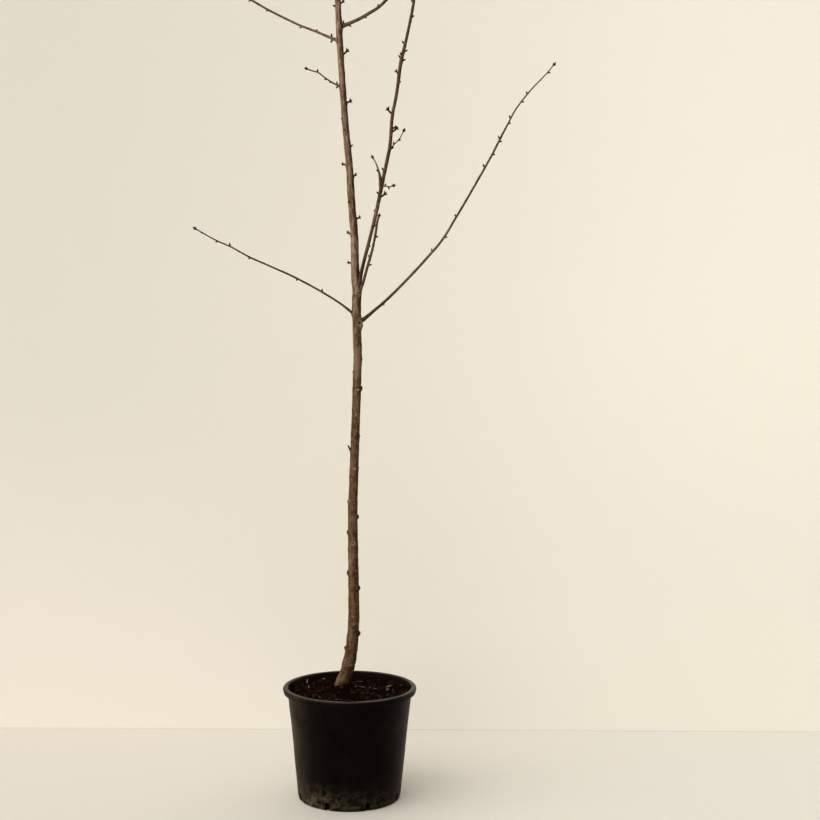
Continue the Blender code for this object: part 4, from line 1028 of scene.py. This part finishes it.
# Grains: balls of a few rings whose radius is uneven, squeezed by their three sizes,
# turned at random and set down on the compost
def grainSurface(places, sizes, seed, uneven, rings=5, sides=6):
    rng = np.random.default_rng(seed)
    count = len(places)
    v, u = np.linspace(*compost["grainSpan"], rings)[:, None] * np.pi, turns(sides)
    ball = np.stack([np.sin(v) * np.cos(u), np.sin(v) * np.sin(u), -np.cos(v) + 0 * u], -1)
    shape = ball[None] * (1 + uneven * rng.uniform(-1, 1, (count, rings, sides, 1))) * sizes[:, None, None]
    a, b, c, d = unit(rng.normal(size=(count, 4))).T
    spin = np.array([[1 - 2 * (c * c + d * d), 2 * (b * c - a * d), 2 * (b * d + a * c)],
                     [2 * (b * c + a * d), 1 - 2 * (b * b + d * d), 2 * (c * d - a * b)],
                     [2 * (b * d - a * c), 2 * (c * d + a * b), 1 - 2 * (b * b + c * c)]])
    shape = np.einsum("ijn,nrsj->nrsi", spin, shape) + places[:, None, None]
    return joined([ringSurface(grain) for grain in shape])


# Places spread evenly over the compost, or from inner to outer about the trunk's foot
def scatter(count, seed, reach=0.985, about=None, lift=0):
    rng = np.random.default_rng(seed)
    r, t = np.sqrt(rng.random(count)) * fillRadius(compost["level"]) * reach, rng.random(count) * 2 * np.pi
    x, y = r * np.cos(t), r * np.sin(t)
    if about:
        r = about[0] + (about[1] - about[0]) * rng.random(count) ** 1.5
        x, y = footX + r * np.cos(t), footY + r * np.sin(t)
    keep = np.hypot(x - footX, y - footY) > compost["clear"]
    return np.stack([x[keep], y[keep], soilHeight(x[keep], y[keep]) + lift], -1)


rng = np.random.default_rng(71)
places = np.concatenate([scatter(compost["crumbs"], 72),
                         scatter(compost["footCrumbs"], 79, about=(compost["clear"], 0.03), lift=0.0008)])
sizes = rng.uniform(*compost["crumbSize"], len(places))[:, None] * rng.uniform(0.6, 1.1, (len(places), 3))
makePiece("crumbs", grainSurface(places, sizes, 73, 0.28),
          mottled("crumbSkin", (0.002, 0.0006, 0.0002), (0.0125, 0.0046, 0.0018), 0.85, 0.0008))
places = scatter(compost["barkBits"], 74, lift=0.001)
sizes = rng.uniform(*compost["barkSize"], len(places))[:, None]
sizes = sizes * rng.uniform((0.8, 0.45, 0.2), (1.2, 0.8, 0.4), (len(places), 3))
makePiece("bark_bits", grainSurface(places, sizes, 75, 0.2),
          mottled("barkBitSkin", (0.005, 0.0022, 0.001), (0.038, 0.022, 0.014), 0.7, 0.0008))


# Strands: thin tubes along short arcs that lie on the compost or stand up from it. A row
# is x, y, heading, tilt (radians), bend, half length and thickness
def strandSurface(strands):
    t = np.linspace(-1, 1, 7)
    surfaces = []
    for placeX, placeY, heading, tilt, bend, half, thick in strands:
        flat = half * math.cos(tilt)
        x = placeX + flat * (t * math.cos(heading) - bend * t**2 * math.sin(heading))
        y = placeY + flat * (t * math.sin(heading) + bend * t**2 * math.cos(heading))
        if np.hypot(x, y).max() > fillRadius(compost["level"]) - 0.001:
            continue
        z = soilHeight(x, y) + compost["strandLift"] + compost["strandWave"] * np.cos(t * 3)
        z = z + half * math.sin(tilt) * (t + 0.7)
        line = np.stack([x, y, z], -1)
        ways = squareTo(unit(np.gradient(line, axis=0)))
        girth = thick * (1 - compost["strandTaper"] * t**2)
        surfaces.append(ringSurface(circles(line, *ways, turns(5), girth[:, None])))
    return joined(surfaces)


fibres = [(*place[:2], rng.uniform(0, 6.28), 0, rng.uniform(-0.5, 0.5), rng.uniform(0.003, 0.011),
           rng.uniform(0.0002, 0.0005)) for place in scatter(compost["fibres"], 78, 0.9)]
makePiece("fibres", strandSurface(fibres),
          mottled("fibreSkin", (0.02, 0.011, 0.006), (0.085, 0.055, 0.035), 0.75, 0.0002))
# The paler slivers that show, in millimetres: two stand up at the left, the others lie about
slivers = [
    (-103, 82, 1.4, 1.2, 0.2, 6, 1.8), (-96, 25, 1.7, 1.2, -0.2, 5.2, 1.7),
    (-66, 111, 0.2, 0.1, 0.3, 4, 1.1), (21, 31, 0.22, 0, 0.15, 15, 1.1), (45, 40, 0.6, 0.1, 0.3, 5, 0.9),
    (57, 27, -0.3, 0.1, -0.4, 6, 0.9), (86, 18, 0.5, 0.3, 0.2, 4, 2), (90, 42, 0.3, 0.2, 0.8, 7, 1.6),
    (88, 90, 0.05, 0, 0.1, 10, 0.8), (21, 88, -0.2, 0.1, 0.7, 5, 0.9), (64, 112, 0.1, 0, 0.2, 6, 0.8),
    (118, 55, 1.2, 0.3, 0.5, 5, 0.8), (-28, -79, 0.4, 0, 0.3, 4, 0.8), (-65, -53, 2.4, 0.1, 0.3, 3.6, 0.8),
]
makePiece("slivers", strandSurface(metres(slivers, (0, 1, 5, 6))),
          mottled("sliverSkin", (0.11, 0.086, 0.068), (0.34, 0.29, 0.235), 0.6, 0.0003))

# The floor, which runs on behind, and a wall that stands on it and is clear from its back
stage = {
    "wallAt": 0.547, "wall": 4, "half": 5, "left": (0.808, 0.79, 0.732), "lowLeft": (0.905, 0.871, 0.807),
    "right": (0.995, 0.962, 0.885), "lowRight": (0.912, 0.886, 0.815), "floorLeft": (0.815, 0.785, 0.73),
    "floorRight": (0.822, 0.809, 0.775), "spread": (-0.95, 1.15), "rise": (1, 0), "riseRight": (1.2, 0.3),
    "wallFrom": (0.0003, 0.0006), "crease": (0.0038, 0.001), "creaseShade": 0.16,
}
corners = [(x, y, z) for x in (-stage["half"], stage["half"]) for y, z in (
    (-stage["half"], 0), (stage["half"], 0), (stage["wallAt"], 0), (stage["wallAt"], stage["wall"]))]
mesh = bpy.data.meshes.new("floor")
mesh.from_pydata(corners, [], [(0, 4, 5, 1), (2, 6, 7, 3)])
floorSkin = Finish("floorPaint")
place, mix = floorSkin.place(), floorSkin.mix
side, height = floorSkin.part(place, "X").step(*stage["spread"]), floorSkin.part(place, "Z")
onWall = height.step(*stage["wallFrom"])
# Painted light: the wall lighter to the right, lighter low at the left and darker low at the right, the floor
# a little lighter to the right
wall = mix(side, mix(height.step(*stage["rise"]), stage["left"], stage["lowLeft"]),
           mix(height.step(*stage["riseRight"]), stage["right"], stage["lowRight"]))
paint = mix(onWall, mix(side, stage["floorLeft"], stage["floorRight"]), wall)
# A dark band painted along the foot of the wall: a painted shadow where wall meets floor
paint = mix(height.step(*stage["crease"]) * onWall * stage["creaseShade"], paint, (0, 0, 0))
clear = floorSkin.node("NewGeometry", out="Backfacing")
mesh.materials.append(floorSkin.end(Base_Color=paint, Roughness=0.75, Alpha=1 - clear))
newObject("floor", mesh)

# One broad key from the left and above, and an even fill that is stronger at the left
key = {"from": (-0.82, -0.9, 0.74), "width": 82, "strength": 1.6, "colour": (1, 0.955, 0.875)}
fill = {"strength": 0.5, "left": 0.8, "above": 0.35, "colour": (1, 0.95, 0.87)}
light = bpy.data.lights.new("key", "SUN")
light.angle, light.energy, light.color = math.radians(key["width"]), key["strength"], key["colour"]
newObject("key", light).rotation_euler = Vector(key["from"]).to_track_quat("Z", "Y").to_euler()
studio = Finish("studio", bpy.data.worlds, "Background")
heading = studio.node("TexCoord", out="Generated")
lean = (-fill["strength"] * fill["left"], 0, fill["strength"] * fill["above"])
sky = studio.vector("DOT_PRODUCT", heading, lean, out="Value") + fill["strength"]
studio.end(Color=fill["colour"], Strength=sky)
bpy.context.scene.world = studio.owner
bpy.context.scene.view_settings.view_transform = "Standard"
print("stage lit")
